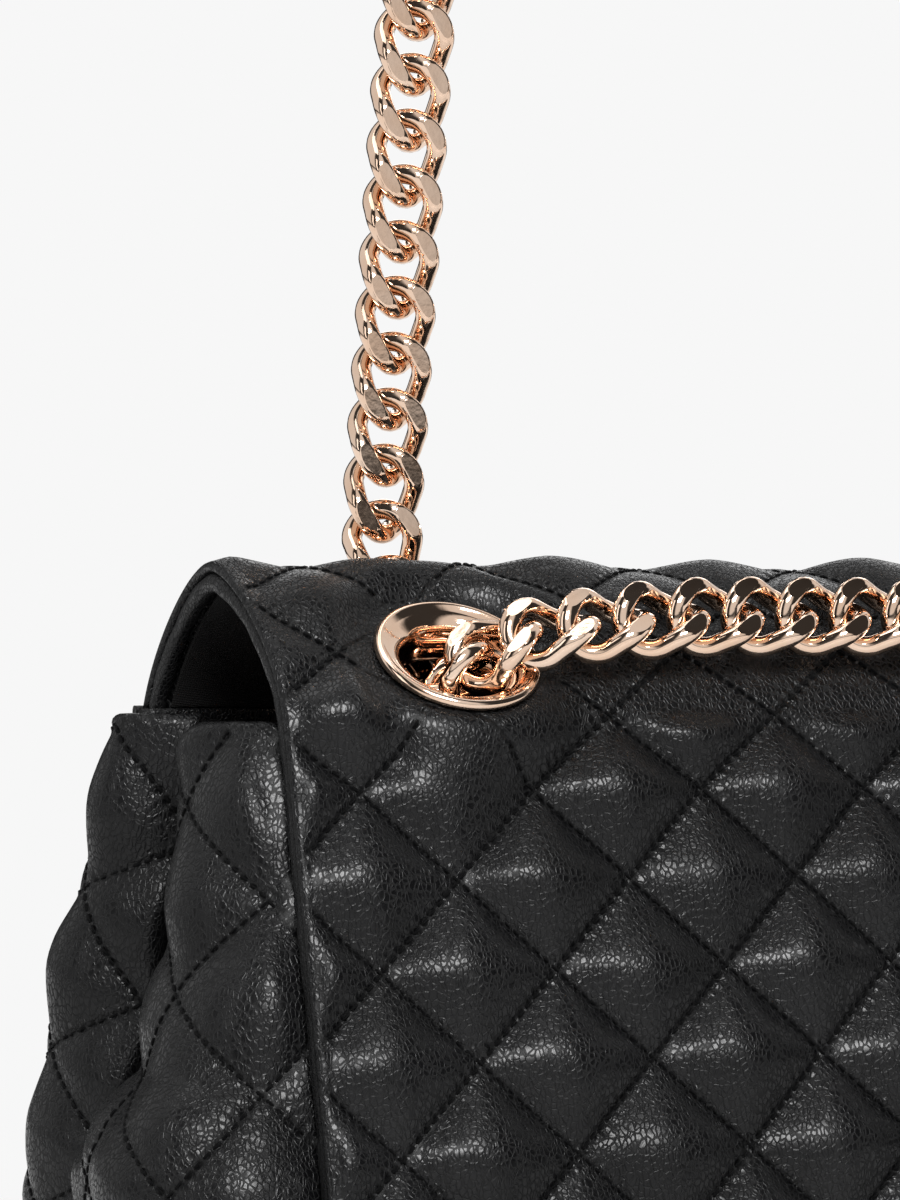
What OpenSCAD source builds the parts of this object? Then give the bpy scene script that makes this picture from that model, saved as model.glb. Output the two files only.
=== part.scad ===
// Quilted flap shoulder bag with a sliding curb chain strap.
// X runs to the right, Y to the back, Z up. The base rests on z = 0.

/* [Body] */
// Height of the back panel, up to the flap's hinge
body_h = 177; // [165:1:190]
// Half of the width at the top of the body
top_half_w = 143; // [138:1:148]
// Half of the width at the fullest height
belly_half_w = 158; // [154:1:164]
// Height of the fullest point
belly_h = 60; // [45:1:75]
// How far the front half of each side stands in from the back half
side_step = 3; // [2:0.5:4]
// Back face at the top, measured from the middle of the bag
back_top_y = 32; // [30:0.5:33]
// Back face at the fullest height
back_belly_y = 49; // [45:1:54]
// Thickness of the padded and quilted leather
shell_t = 4.5; // [4:0.25:5]
// Outward crown of the back panel
back_crown = 4; // [2:0.5:6]
// Rounding along the bottom edge
base_round = 10; // [8:0.5:12]
// Thickness of the base panel
base_t = 4; // [3:0.25:5]
// Thickness of the stiffening board
board_t = 2; // [1.5:0.25:2.5]
// Place of the fold between the front and back halves of a side
fold_y = 10; // [8:0.5:12]
// Open width of that fold
fold_gap = 5; // [4:0.5:6]
// Thickness of the gusset leather
gusset_t = 1.5; // [1:0.1:1.8]

/* [Flap] */
// Height of the flap's ridge
flap_h = 204.5; // [200:0.5:208]
// Front face of the flap where the shoulder starts
shoulder_y = -28.5; // [-31:0.5:-27]
// Height where the shoulder starts
shoulder_z = 174; // [170:1:178]
// Slope of the front face, from upright
front_slope = 17.7; // [16:0.1:19]
// Height of the flap's lower edge
flap_low_z = 38; // [34:1:44]
// Front face at the lower edge
flap_low_y = -67; // [-70:1:-64]
// Half of the flap's width at the ridge
flap_half_w = 128.3; // [124:0.1:132]
// How much wider each side is at the lower edge
flap_flare = 2.5; // [1:0.5:4]
// Corner rounding at the lower edge
flap_corner_r = 22; // [15:1:28]
// Thickness of the flap's padded and quilted leather
flap_t = 4.5; // [4:0.25:5]
// Thickness of the flap lining
flap_lining_t = 1; // [0.8:0.1:1.2]
// Width of the plain strip that binds each end of the flap
binding_w = 1.5; // [1:0.1:2]
// How far the flap opens, in degrees
flap_open = 110; // [90:5:110]

/* [Lining and pocket] */
// Thickness of the lining
lining_t = 1; // [0.8:0.1:1.2]
// Height of the leather facing at the mouth
facing_h = 28; // [20:1:36]
// Half of the pocket's width
pocket_half_w = 80; // [70:1:90]
// Height of the pocket's floor
pocket_low_z = 40; // [36:1:46]
// Height of the pocket's open edge
pocket_high_z = 118; // [110:1:124]
// How far the pocket stands off the lining
pocket_depth = 11; // [10:0.5:12]

/* [Chain] */
// Wire diameter
wire_d = 3.9; // [3.7:0.05:4]
// Width of a link
link_w = 15.3; // [15:0.1:15.6]
// Length of a link
link_l = 19.2; // [19:0.1:19.5]
// Thickness of the chain between its filed faces
link_t = 7.2; // [7:0.1:7.6]
// Radius of a link's bow
bow_r = 5.7; // [5.5:0.1:5.9]
// Half of the angle that a bow covers
bow_half = 26; // [24:1:28]
// Twist of each bow out of the chain's plane
bow_tilt = 35; // [34:0.5:36]
// Distance between links when the chain hangs taut
pitch = 10.7; // [10.5:0.05:10.8]
// Links in each hinged length of the strap, on each side
section_links = 10; // [6:1:12]
// Angle by which the strap's sides lean together
strap_lean = 4.3; // [3:0.1:5]

/* [Eyelets] */
// Outer diameter of the flange
eyelet_d = 31; // [30:0.5:32]
// Diameter of the throat
throat_d = 19; // [18.6:0.1:19.5]
// Wall of the pressed metal
eyelet_wall = 0.9; // [0.7:0.1:1]
// Angle of the eyelet's axis above level
eyelet_rise = 52; // [48:1:56]
// Distance of the front eyelets from the middle
front_eyelet_x = 92.5; // [90:0.5:95]
// Front eyelets, distance in front of the middle
front_eyelet_y = -19.25; // [-20:0.25:-18]
// Height of the front eyelets
front_eyelet_z = 186.5; // [185:0.25:187]
// Distance of the rear eyelets from the middle
rear_eyelet_x = 90; // [88:0.5:92]
// Rear eyelets, distance behind the middle
rear_eyelet_y = 19; // [18:0.25:20]
// Height of the rear eyelets
rear_eyelet_z = 193; // [192:0.25:194]

/* [Closure] */
// Diameter of the magnetic snap
snap_d = 18; // [16:0.5:20]
// Thickness of each half of the snap
snap_t = 2.4; // [2:0.1:2.6]
// Height of the snap
snap_z = 62; // [56:1:70]

/* [Hidden] */

leather = [0.10, 0.10, 0.11];
cloth = [0.16, 0.15, 0.15];
metal = [0.86, 0.67, 0.55];
board = [0.45, 0.40, 0.33];

// Clearance between pieces that lie on each other
gap = 0.3;
// Overrun of cuts
over = 1;
$fn = 32;

// Vectors and curves
function unit(v) = v / norm(v);
function mix(a, b, t) = a + (b - a) * t;
function bezier(p, t) =
  pow(1 - t, 3) * p[0] + 3 * pow(1 - t, 2) * t * p[1] + 3 * (1 - t) * t * t * p[2] + pow(t, 3) * p[3];
// How far an edge of radius r draws in at a distance d from its end
function drawn_in(d, r) = d >= r ? 0 : r - sqrt(r * r - (r - d) * (r - d));

// A wall between two grids of points with the same rows and columns
module wall(outer, inner) {
  rows = len(outer);
  cols = len(outer[0]);
  function id(side, r, c) = (side * rows + r) * cols + c;
  function quad(a, b, c, d) = [[c, b, a], [d, c, a]];
  points = concat([for (row = outer) each row], [for (row = inner) each row]);
  faces = concat(
    [for (r = [0 : rows - 2]) for (c = [0 : cols - 2])
      each quad(id(0, r, c), id(0, r, c + 1), id(0, r + 1, c + 1), id(0, r + 1, c))],
    [for (r = [0 : rows - 2]) for (c = [0 : cols - 2])
      each quad(id(1, r, c), id(1, r + 1, c), id(1, r + 1, c + 1), id(1, r, c + 1))],
    [for (c = [0 : cols - 2]) each quad(id(0, 0, c), id(1, 0, c), id(1, 0, c + 1), id(0, 0, c + 1))],
    [for (c = [0 : cols - 2]) each quad(id(0, rows - 1, c), id(0, rows - 1, c + 1),
      id(1, rows - 1, c + 1), id(1, rows - 1, c))],
    [for (r = [0 : rows - 2]) each quad(id(0, r, 0), id(0, r + 1, 0), id(1, r + 1, 0), id(1, r, 0))],
    [for (r = [0 : rows - 2]) each quad(id(0, r, cols - 1), id(1, r, cols - 1),
      id(1, r + 1, cols - 1), id(0, r + 1, cols - 1))]
  );
  polyhedron(points, faces, convexity = 6);
}

// The flap's section, from the lower edge over the shoulder and ridge to the hinge
slope_dir = [sin(front_slope), cos(front_slope)];
shoulder = [shoulder_y, shoulder_z];
// Place of the ridge between the shoulder and the hinge
ridge_share = 0.52;
ridge_y = mix(shoulder_y, back_top_y, ridge_share);
ridge = [ridge_y, flap_h];
hinge = [back_top_y, body_h];
low_edge = [flap_low_y, flap_low_z];
face_len = norm(shoulder - low_edge);
// How far each curve runs straight on from its ends
low_pull_shares = [0.04, 0.31];
shoulder_pull_share = 0.46;
ridge_pull_share = 0.38;
hinge_pull_shares = [-0.036, 0.473];
face_curve = [low_edge, low_edge + low_pull_shares * face_len, shoulder - slope_dir * face_len / 3, shoulder];
front_curve = [shoulder, shoulder + slope_dir * (flap_h - shoulder_z) * shoulder_pull_share,
  ridge - [(ridge_y - shoulder_y) * ridge_pull_share, 0], ridge];
rear_curve = [ridge, ridge + [(back_top_y - ridge_y) * ridge_pull_share, 0],
  hinge + hinge_pull_shares * (flap_h - body_h), hinge];
face_shares = [0, 0.012, 0.035, 0.07, 0.11, 0.15, 0.3, 0.5, 0.75];
curve_steps = 8;
flap_line = concat(
  [for (t = face_shares) bezier(face_curve, t)],
  [for (k = [0 : curve_steps - 1]) bezier(front_curve, k / curve_steps)],
  [for (k = [0 : curve_steps]) bezier(rear_curve, k / curve_steps)]
);
function line_normal(line, i) =
  let (a = line[max(i - 1, 0)], b = line[min(i + 1, len(line) - 1)], t = unit(b - a)) [-t[1], t[0]];
// The same line moved inwards by a depth
function flap_line_at(depth) = [for (i = [0 : len(flap_line) - 1])
  let (n = line_normal(flap_line, i), last = i == len(flap_line) - 1)
  flap_line[i] - (last ? [depth, 0] : depth * n)];
function flap_half_at(p) =
  let (low_share = (shoulder_z - p[1]) / (shoulder_z - flap_low_z))
  flap_half_w + flap_flare * max(0, low_share) * (p[0] < ridge_y ? 1 : 0)
  - (p[0] < ridge_y ? drawn_in(norm(p - low_edge), flap_corner_r) : 0);
// Front face of the flap at a height, for what lies behind it
flap_face_table = [for (i = [0 : len(face_shares) + 2]) [flap_line[i][1], flap_line[i][0]]];
function flap_face_y(z) = z < flap_low_z ? flap_low_y : lookup(z, flap_face_table);
flap_stack = flap_t + gap + flap_lining_t;

module flap_band(depth_a, depth_b, x_in, x_a = -1, x_b = 1) {
  outer = flap_line_at(depth_a);
  inner = flap_line_at(depth_b);
  function row(p, ref) = let (w = flap_half_at(ref) - x_in) [for (x = [x_a, x_b]) [x * w, p[0], p[1]]];
  wall([for (i = [0 : len(outer) - 1]) row(outer[i], flap_line[i])],
    [for (i = [0 : len(inner) - 1]) row(inner[i], flap_line[i])]);
}

// Plan outline of one half of the body, from the left fold round the face to the right fold:
// radii of the upright corners, and of the rolled edges at the fold
corner_rx = 20;
corner_ry = 20;
hook_r = 6;
function half_side(hw, face, edge, inset, crown, step, hooked) =
  let (s = sign(edge - face), w = hw - inset, f = face + s * inset, h = hook_r - inset,
    rx = corner_rx - inset, mid = hw - corner_rx,
    ry = min(corner_ry, abs(edge - face) - hook_r - gap) - inset)
  concat(
    hooked ? [for (a = [90 : -30 : 30]) [w - h + h * cos(a), edge - s * hook_r + s * h * sin(a)]]
      : [[w, edge - s * hook_r]],
    [for (a = [0 : step : 90]) [mid + rx * cos(a), f + s * (ry - ry * sin(a))]],
    [for (k = [2, 1]) [mid * k / 3, f - s * crown * (1 - k * k / 9)]]
  );
function plan(hw, face, edge, inset, crown, step = 15, hooked = true) =
  let (s = sign(edge - face), right = half_side(hw, face, edge, inset, crown, step, hooked), n = len(right))
  concat([for (p = right) [-p[0], p[1]]], [[0, face + s * inset - s * crown]],
    [for (i = [n - 1 : -1 : 0]) right[i]]);

// Sizes of the body at a height: how much narrower the foot is, and where above the fullest
// height the sides and the back have drawn in by which share
foot_draw = 2;
side_height_shares = [0.3, 0.6];
side_draw_shares = [0.17, 0.47];
back_height_shares = [0.5, 0.8];
back_draw_shares = [0.32, 0.7];
function above_belly(share) = mix(belly_h, body_h, share);
function half_w(z) = lookup(z, concat(
  [[0, belly_half_w - foot_draw], [belly_h / 2, belly_half_w], [belly_h, belly_half_w]],
  [for (i = [0, 1])
    [above_belly(side_height_shares[i]), mix(belly_half_w, top_half_w, side_draw_shares[i])]],
  [[body_h, top_half_w]])) - drawn_in(z, base_round);
function back_y(z) = lookup(z, concat(
  [[0, back_belly_y], [belly_h, back_belly_y]],
  [for (i = [0, 1])
    [above_belly(back_height_shares[i]), mix(back_belly_y, back_top_y, back_draw_shares[i])]],
  [[body_h, back_top_y]])) - drawn_in(z, base_round);
// Air between the flap's lining and the front panel
front_slack = 0.9;
function front_y(z) =
  flap_face_y(z) + (flap_stack + front_slack) / cos(front_slope) + drawn_in(z, base_round);
function back_bulge(z) = back_crown * sin(180 * z / body_h);

// The front half is lower in the middle, under the flap, and falls towards the folds
wrap_share = 0.9904;
mouth_share = 0.949;
fold_top_share = 0.9575;
mouth_width_share = 0.727;
wrap_z = wrap_share * body_h;
mouth_z = mouth_share * body_h;
fold_z = fold_top_share * body_h;
mouth_half_w = mouth_width_share * top_half_w;
function smooth(t) = let (c = min(1, max(0, t))) c * c * (3 - 2 * c);
function front_top(p) =
  let (side_share = smooth((abs(p[0]) - mouth_half_w) / (top_half_w - corner_rx - mouth_half_w + hook_r)),
    fold_share = smooth((p[1] + hook_r) / (fold_y - fold_gap / 2 + hook_r)))
  mix(mix(mouth_z, wrap_z, side_share), fold_z, fold_share * side_share);

// Heights at which every wall has a row of points, so that skins lie evenly on each other
round_shares = [0.7, 1];
rows_up = 8;
level_heights = concat([for (s = round_shares) s * base_round],
  [for (k = [0 : rows_up]) mix(flap_low_z, wrap_z, k / rows_up)]);
function levels(low, high) =
  concat([low], [for (z = level_heights) if (z > low + gap && z < high - gap) z], [high]);

shell_low = base_t + gap;
lining_in = shell_t + 2 * gap;
lining_low = base_t + gap + board_t + gap + lining_t + gap;

// One wall of the body between two insets and two heights
module front_wall(inset_a, inset_b, low, high, hooked = true) {
  function ring(zn, inset) =
    let (hw = half_w(zn) - side_step, face = front_y(zn), edge = fold_y - fold_gap / 2,
      rim = plan(hw, face, edge, 0, 0, 15, hooked), line = plan(hw, face, edge, inset, 0, 15, hooked),
      share = (zn - shell_low) / (wrap_z - shell_low))
    [for (i = [0 : len(line) - 1]) [line[i][0], line[i][1], mix(shell_low, front_top(rim[i]), share)]];
  wall([for (z = levels(low, high)) ring(z, inset_a)], [for (z = levels(low, high)) ring(z, inset_b)]);
}
module back_wall(inset_a, inset_b, low, high, hooked = true) {
  edge = fold_y + fold_gap / 2;
  function ring(z, inset) =
    [for (p = plan(half_w(z), back_y(z), edge, inset, back_bulge(z), 15, hooked)) [p[0], p[1], z]];
  wall([for (z = levels(low, high)) ring(z, inset_b)], [for (z = levels(low, high)) ring(z, inset_a)]);
}

// Tilted frame on the front face at a height, with Z out of the face
module on_front(z, depth) {
  t = unit([flap_face_y(z + snap_t) - flap_face_y(z - snap_t), 2 * snap_t]);
  translate([0, flap_face_y(z), z]) rotate([90 - atan2(t[0], t[1]), 0, 0]) translate([0, 0, -depth])
    children();
}
socket_depth = flap_stack + front_slack;

module front_shell() {
  color(leather) difference() {
    front_wall(0, shell_t, shell_low, wrap_z);
    on_front(snap_z, socket_depth + snap_t + gap) cylinder(d = snap_d + 2 * gap, h = shell_t);
    on_front(snap_z, socket_depth + shell_t + over) cylinder(d = snap_d + 2 * gap, h = over + washer_t + gap);
  }
}
module back_shell() {
  color(leather) back_wall(0, shell_t, shell_low, body_h - gap);
}

// A gusset strip closes each fold behind the two rolled edges, drawn in by a soft crease
gusset_share = 0.972;
gusset_top = gusset_share * body_h;
gusset_fold = 3;
// Level of the front half's wall that lies at a height beside the fold
function fold_level(z) = mix(shell_low, wrap_z, (z - shell_low) / (fold_z - shell_low));
module gusset_wall(side, skin, t) {
  x_in = hook_r + gap + skin;
  ys = [fold_y - fold_gap / 2 - shell_t, fold_y, fold_y + fold_gap / 2 + shell_t];
  function ring(z, more) =
    let (w = half_w(fold_level(z)) - side_step - x_in - more)
    [for (k = [0 : 2]) [side * (w - (k == 1 ? gusset_fold : 0)), ys[k], z]];
  outer = [for (z = levels(lining_low, gusset_top)) ring(z, 0)];
  inner = [for (z = levels(lining_low, gusset_top)) ring(z, t)];
  if (side > 0) wall(outer, inner);
  else wall(inner, outer);
}
module left_gusset() { color(leather) gusset_wall(-1, 0, gusset_t); }
module right_gusset() { color(leather) gusset_wall(1, 0, gusset_t); }
module left_gusset_lining() { color(cloth) gusset_wall(-1, gusset_t + gap, lining_t); }
module right_gusset_lining() { color(cloth) gusset_wall(1, gusset_t + gap, lining_t); }

// Flat plates that fill the bottom
function oval_plan(z, inset) =
  let (front = plan(half_w(z) - side_step, front_y(z), fold_y, inset, 0, 15, false),
    back = plan(half_w(z), back_y(z), fold_y, inset, back_bulge(z), 15, false))
  concat(front, [for (i = [len(back) - 1 : -1 : 0]) back[i]]);
module base_panel() {
  edge = base_t;
  color(leather) hull() {
    linear_extrude(edge / 4) polygon(oval_plan(edge / 4, 0));
    translate([0, 0, edge / 2]) linear_extrude(edge / 2) polygon(oval_plan(edge, 0));
  }
}
base_inset = hook_r + gap + side_step / 3;
module base_board() {
  z = base_t + gap;
  color(board) translate([0, 0, z]) linear_extrude(board_t) polygon(oval_plan(z, base_inset));
}
module base_lining() {
  z = base_t + gap + board_t + gap;
  color(cloth) translate([0, 0, z]) linear_extrude(lining_t) polygon(oval_plan(z, base_inset));
}

facing_low = body_h - facing_h;
module front_lining() {
  color(cloth) front_wall(lining_in, lining_in + lining_t, lining_low, facing_low - gap, false);
}
module front_facing() {
  color(leather) front_wall(lining_in, lining_in + lining_t, facing_low, wrap_z - gap, false);
}
module back_lining() {
  color(cloth) back_wall(lining_in, lining_in + lining_t, lining_low, facing_low - gap, false);
}
module back_facing() {
  color(leather) back_wall(lining_in, lining_in + lining_t, facing_low, body_h - 2 * gap, false);
}

// An open pocket on the back lining: a face, two sides and a floor
pocket_crown_share = 0.6;
function pocket_back(z) = back_y(z) + pocket_crown_share * back_bulge(z) - lining_in - lining_t - gap;
module slip_pocket() {
  module block(x_half, low, high, front, back) {
    function plane(off) = [for (z = [low, high])
      let (y = mix(pocket_back(pocket_low_z), pocket_back(pocket_high_z),
        (z - pocket_low_z) / (pocket_high_z - pocket_low_z)) - off)
      [for (x = [-1, 1]) [x * x_half, y, z]]];
    wall(plane(front), plane(back));
  }
  color(cloth) difference() {
    block(pocket_half_w, pocket_low_z, pocket_high_z, pocket_depth, 0);
    block(pocket_half_w - lining_t, pocket_low_z + lining_t, pocket_high_z + over,
      pocket_depth - lining_t, lining_t);
  }
}

washer_t = 0.8;
snap_hole = 8.4;
nose_h = 0.6;
nose_share = 0.7;
module snap_socket() {
  color(metal) on_front(snap_z, socket_depth + snap_t) difference() {
    cylinder(d = snap_d, h = snap_t);
    translate([0, 0, snap_t / 2]) cylinder(d = snap_hole, h = snap_t);
  }
}
module snap_socket_washer() {
  color(metal) on_front(snap_z, socket_depth + shell_t) cylinder(d = snap_d, h = washer_t);
}
module snap_stud() {
  color(metal) on_front(snap_z, flap_stack) {
    nose = front_slack / 2 + nose_h;
    cylinder(d = snap_d, h = snap_t);
    translate([0, 0, -nose]) cylinder(d1 = snap_hole / 2, d2 = nose_share * snap_hole, h = nose);
  }
}
module snap_stud_washer() {
  color(metal) on_front(snap_z, flap_stack - snap_t - gap) cylinder(d = snap_d, h = washer_t);
}

// Eyelet frames: Z out of the flap, Y up the slope
tilt = 90 - eyelet_rise;
module at_front_eyelet(s) {
  translate([s * front_eyelet_x, front_eyelet_y, front_eyelet_z]) rotate([tilt, 0, 0]) children();
}
module at_rear_eyelet(s) {
  translate([s * rear_eyelet_x, rear_eyelet_y, rear_eyelet_z]) rotate([-tilt, 0, 0]) children();
}
module at_each_eyelet() {
  for (s = [-1, 1]) {
    at_front_eyelet(s) children();
    at_rear_eyelet(s) children();
  }
}
throat_r = throat_d / 2;
lip_r = eyelet_wall;
seat_r = eyelet_d / 2 + gap;
// Rim of the sunk leather round each eyelet, and what the washer lies inside it
dish_margin = 1.5;
washer_margin = 1;
dish_r = eyelet_d / 2 + dish_margin;
// Radius of the flange's hollow
trumpet_r = 4.6;
barrel_h = flap_t + 2 * gap + washer_t;
// Pressed section: a rolled lip, a hollow flange and a throat that is clenched below
module eyelet() {
  lip_x = eyelet_d / 2 - lip_r;
  lip_z = lip_r - gap / 2;
  flare_x = throat_r + trumpet_r;
  flare_z = lip_z - trumpet_r + lip_r / 3;
  clench_r = throat_r + 2 * eyelet_wall;
  clench_z = -barrel_h - eyelet_wall;
  step = 15;
  profile = concat(
    [for (a = [90 : -step : step]) [flare_x - trumpet_r * sin(a), flare_z + trumpet_r * cos(a)]],
    [for (a = [120 : -2 * step : -90]) [lip_x + lip_r * cos(a), lip_z + lip_r * sin(a)]],
    [for (a = [step : step : 90])
      [flare_x - (trumpet_r - eyelet_wall) * sin(a), flare_z + (trumpet_r - eyelet_wall) * cos(a)]],
    [for (a = [180 : -2 * step : 0])
      [clench_r + eyelet_wall * cos(a), clench_z + eyelet_wall * sin(a)]],
    [for (a = [0 : -2 * step : -180])
      [clench_r + 2 * eyelet_wall * cos(a), clench_z + 2 * eyelet_wall * sin(a)]]
  );
  color(metal) rotate_extrude($fn = 64) polygon(profile);
}
module front_left_eyelet() { at_front_eyelet(-1) eyelet(); }
module front_right_eyelet() { at_front_eyelet(1) eyelet(); }
module rear_left_eyelet() { at_rear_eyelet(-1) eyelet(); }
module rear_right_eyelet() { at_rear_eyelet(1) eyelet(); }
washer_r = dish_r - washer_margin;
washer_hole_r = throat_r + eyelet_wall + gap / 2;
module eyelet_washers() {
  color(metal) at_each_eyelet() translate([0, 0, -2 * gap - flap_t - washer_t]) difference() {
    cylinder(r = washer_r, h = washer_t);
    translate([0, 0, -over]) cylinder(r = washer_hole_r, h = washer_t + 2 * over);
  }
}
leather_hole_r = throat_r + trumpet_r - washer_margin;
module flap_outer() {
  dish_low = -gap - flap_t;
  color(leather) difference() {
    union() {
      flap_band(0, flap_t, binding_w + gap);
      at_each_eyelet() translate([0, 0, dish_low]) cylinder(r = dish_r, h = flap_t);
    }
    at_each_eyelet() translate([0, 0, -gap]) cylinder(r = seat_r, h = eyelet_d);
    at_each_eyelet() translate([0, 0, dish_low - over]) cylinder(r = leather_hole_r, h = eyelet_d);
    at_each_eyelet() translate([0, 0, dish_low - eyelet_d]) cylinder(r = washer_r + gap, h = eyelet_d);
    on_front(snap_z, flap_stack + over)
      cylinder(d = snap_d + 2 * gap, h = over + snap_t + washer_t + 2 * gap);
  }
}
module flap_lining() {
  color(cloth) difference() {
    flap_band(flap_t + gap, flap_stack, binding_w + gap);
    at_each_eyelet() translate([0, 0, -eyelet_d]) cylinder(r = dish_r + gap, h = 2 * eyelet_d);
    on_front(snap_z, flap_stack + over) cylinder(d = snap_d + 2 * gap, h = flap_lining_t + gap + 2 * over);
  }
}
module flap_bindings() {
  outer = flap_line_at(0);
  inner = flap_line_at(flap_stack);
  function row(s, p, ref) =
    let (w = flap_half_at(ref)) [for (x = s > 0 ? [w - binding_w, w] : [-w, binding_w - w]) [x, p[0], p[1]]];
  color(leather) for (s = [-1, 1])
    wall([for (i = [0 : len(outer) - 1]) row(s, outer[i], flap_line[i])],
      [for (i = [0 : len(inner) - 1]) row(s, inner[i], flap_line[i])]);
}

// One filed curb link along X, its width along Y: two tilted bows, two straight sides
// and four bends between them. The straight pieces are a hair thinner, so that each runs
// into the bends with a clean step.
hair = 0.08;
lap = 0.3;
neck = 0.1;
side_r = (link_w - wire_d) / 2;
bow_x = (link_l - wire_d) / 2 - bow_r;
bow_dir = [0, cos(bow_tilt), sin(bow_tilt)];
bow_end = [bow_x + bow_r * cos(bow_half), 0, 0] + bow_r * sin(bow_half) * bow_dir;
bow_end_dir = [-sin(bow_half), 0, 0] + cos(bow_half) * bow_dir;
bend_reach = (side_r - bow_end[1]) / bow_end_dir[1];
bend_tip = bow_end + bend_reach * bow_end_dir;
side_dir = -unit([bend_tip[0], 0, bend_tip[2]]);
side_end = bend_tip + bend_reach * side_dir;
module rod(p, q, d) {
  e = q - p;
  translate(p) rotate([0, acos(e[2] / norm(e)), atan2(e[1], e[0])]) cylinder(d = d, h = norm(e));
}
// An arc from p, leaving along dir, to q
module bend(p, dir, q, d) {
  c = q - p;
  k = unit(cross(dir, c));
  n = cross(k, dir);
  r = (c * c) / (2 * (c * n));
  o = p + r * n;
  turn = 2 * atan2(norm(cross(dir, c)), dir * c);
  multmatrix([[-n[0], dir[0], k[0], o[0]], [-n[1], dir[1], k[1], o[1]], [-n[2], dir[2], k[2], o[2]]])
    rotate_extrude(angle = turn) translate([r, 0]) circle(d = d);
}
module link_end() {
  half = bow_half - neck / bow_r * 180 / PI;
  translate([bow_x, 0, 0]) rotate([bow_tilt, 0, 0]) rotate([0, 0, -half])
    rotate_extrude(angle = 2 * half) translate([bow_r, 0]) circle(d = wire_d);
  for (turn = [0, 180]) rotate([turn, 0, 0]) {
    bend(bow_end, bow_end_dir, side_end, wire_d);
    rod(bow_end - (neck + lap) * bow_end_dir, bow_end + lap * bow_end_dir, wire_d - hair);
  }
}
module link() {
  run = [side_end[0], 0, side_end[2]] + lap * unit([side_end[0], 0, side_end[2]]);
  side = [0, side_r, 0];
  intersection() {
    union() {
      link_end();
      rotate([0, 180, 0]) link_end();
      for (turn = [0, 180]) rotate([turn, 0, 0]) rod(side + run, side - run, wire_d - hair);
    }
    cube([2 * link_l, 2 * link_w, link_t], center = true);
  }
}
// Links between the points of a route, each with its width along a given direction
module chain(route, widths) {
  color(metal) for (i = [0 : len(route) - 2]) {
    t = unit(route[i + 1] - route[i]);
    y = unit(widths[i] - (widths[i] * t) * t);
    z = cross(t, y);
    c = (route[i] + route[i + 1]) / 2;
    multmatrix([[t[0], y[0], z[0], c[0]], [t[1], y[1], z[1], c[1]], [t[2], y[2], z[2], c[2]]]) link();
  }
}

// The strap's route, for the left side; the right side is turned over in x
front_out = [0, -cos(eyelet_rise), sin(eyelet_rise)];
front_up = [0, sin(eyelet_rise), cos(eyelet_rise)];
rear_out = [0, cos(eyelet_rise), sin(eyelet_rise)];
along = [1, 0, 0];
// Angle at which the chain dives into the front eyelets
enter = 45;
enter_r = 2 * pitch / (enter * PI / 180);
// Places along the route, as shares of the distance between links
enter_share = 0.19;
enter_drop_share = 0.095;
front_pass = [-front_eyelet_x, front_eyelet_y, front_eyelet_z] + enter_share * pitch * along
  - enter_drop_share * pitch * front_up;
front_end = front_pass + enter_r * sin(enter) * along + enter_r * (1 - cos(enter)) * front_out;
function front_bend(k) =
  front_end - enter_r * sin(enter * k / 2) * along - enter_r * (1 - cos(enter * k / 2)) * front_out;
handle_shares = [0.99, 3.32];
rear_pass = [-rear_eyelet_x, rear_eyelet_y, rear_eyelet_z];
inner_curve = [front_pass,
  front_pass - handle_shares[0] * pitch * (cos(enter) * along + sin(enter) * front_out),
  rear_pass - handle_shares[1] * pitch * rear_out, rear_pass];
inner_links = 5;
turn_share = 0.475;
samples = 60;
function inner_step(k) = norm(bezier(inner_curve, (k + 1) / samples) - bezier(inner_curve, k / samples));
inner_table = [for (k = 0, s = 0; k <= samples; s = s + inner_step(k), k = k + 1) [s, k / samples]];
inner_len = inner_table[samples][0];
function inner_point(k) = bezier(inner_curve, lookup(inner_len * k / inner_links, inner_table));
rise_turn = tilt;
rise_r = 2 * pitch / (rise_turn * PI / 180);
rise_side = [0, -sin(eyelet_rise), cos(eyelet_rise)];
function rise_point(k) =
  rear_pass + rise_r * sin(rise_turn * k / 2) * rear_out + rise_r * (1 - cos(rise_turn * k / 2)) * rise_side;
strap_foot = rise_point(2);
lean_dir = [sin(strap_lean), 0, cos(strap_lean)];
function riser_point(k) = strap_foot + k * pitch * lean_dir;
riser_links = 3 * section_links;
strap_neck = riser_point(riser_links);
crown_r = -strap_neck[0] / cos(strap_lean);
crown_turn = 180 - 2 * strap_lean;
crown_links = round(crown_r * crown_turn * PI / 180 / pitch);
crown_mid = [0, strap_neck[1], strap_neck[2] - crown_r * sin(strap_lean)];
function crown_point(k) =
  let (a = 180 - strap_lean - crown_turn * k / crown_links) crown_mid + crown_r * [cos(a), 0, sin(a)];
// Right-hand points, and the same chain run the other way, so that every link keeps its hand
function over_x(route) = [for (i = [len(route) - 1 : -1 : 0]) [-route[i][0], route[i][1], route[i][2]]];
function over_w(widths) = [for (i = [len(widths) - 1 : -1 : 0]) [widths[i][0], -widths[i][1], -widths[i][2]]];

front_links = round(-2 * front_end[0] / pitch);
module front_chain() {
  left = [for (k = [2 : -1 : 0]) front_bend(k)];
  right = over_x(left);
  middle = [for (k = [1 : front_links - 1]) mix(left[2], right[0], k / front_links)];
  route = concat(left, middle, right);
  chain(route, [for (i = [0 : len(route) - 2]) front_up]);
}
inner_route = concat([for (k = [0 : inner_links]) inner_point(k)], [for (k = [1, 2]) rise_point(k)]);
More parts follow.
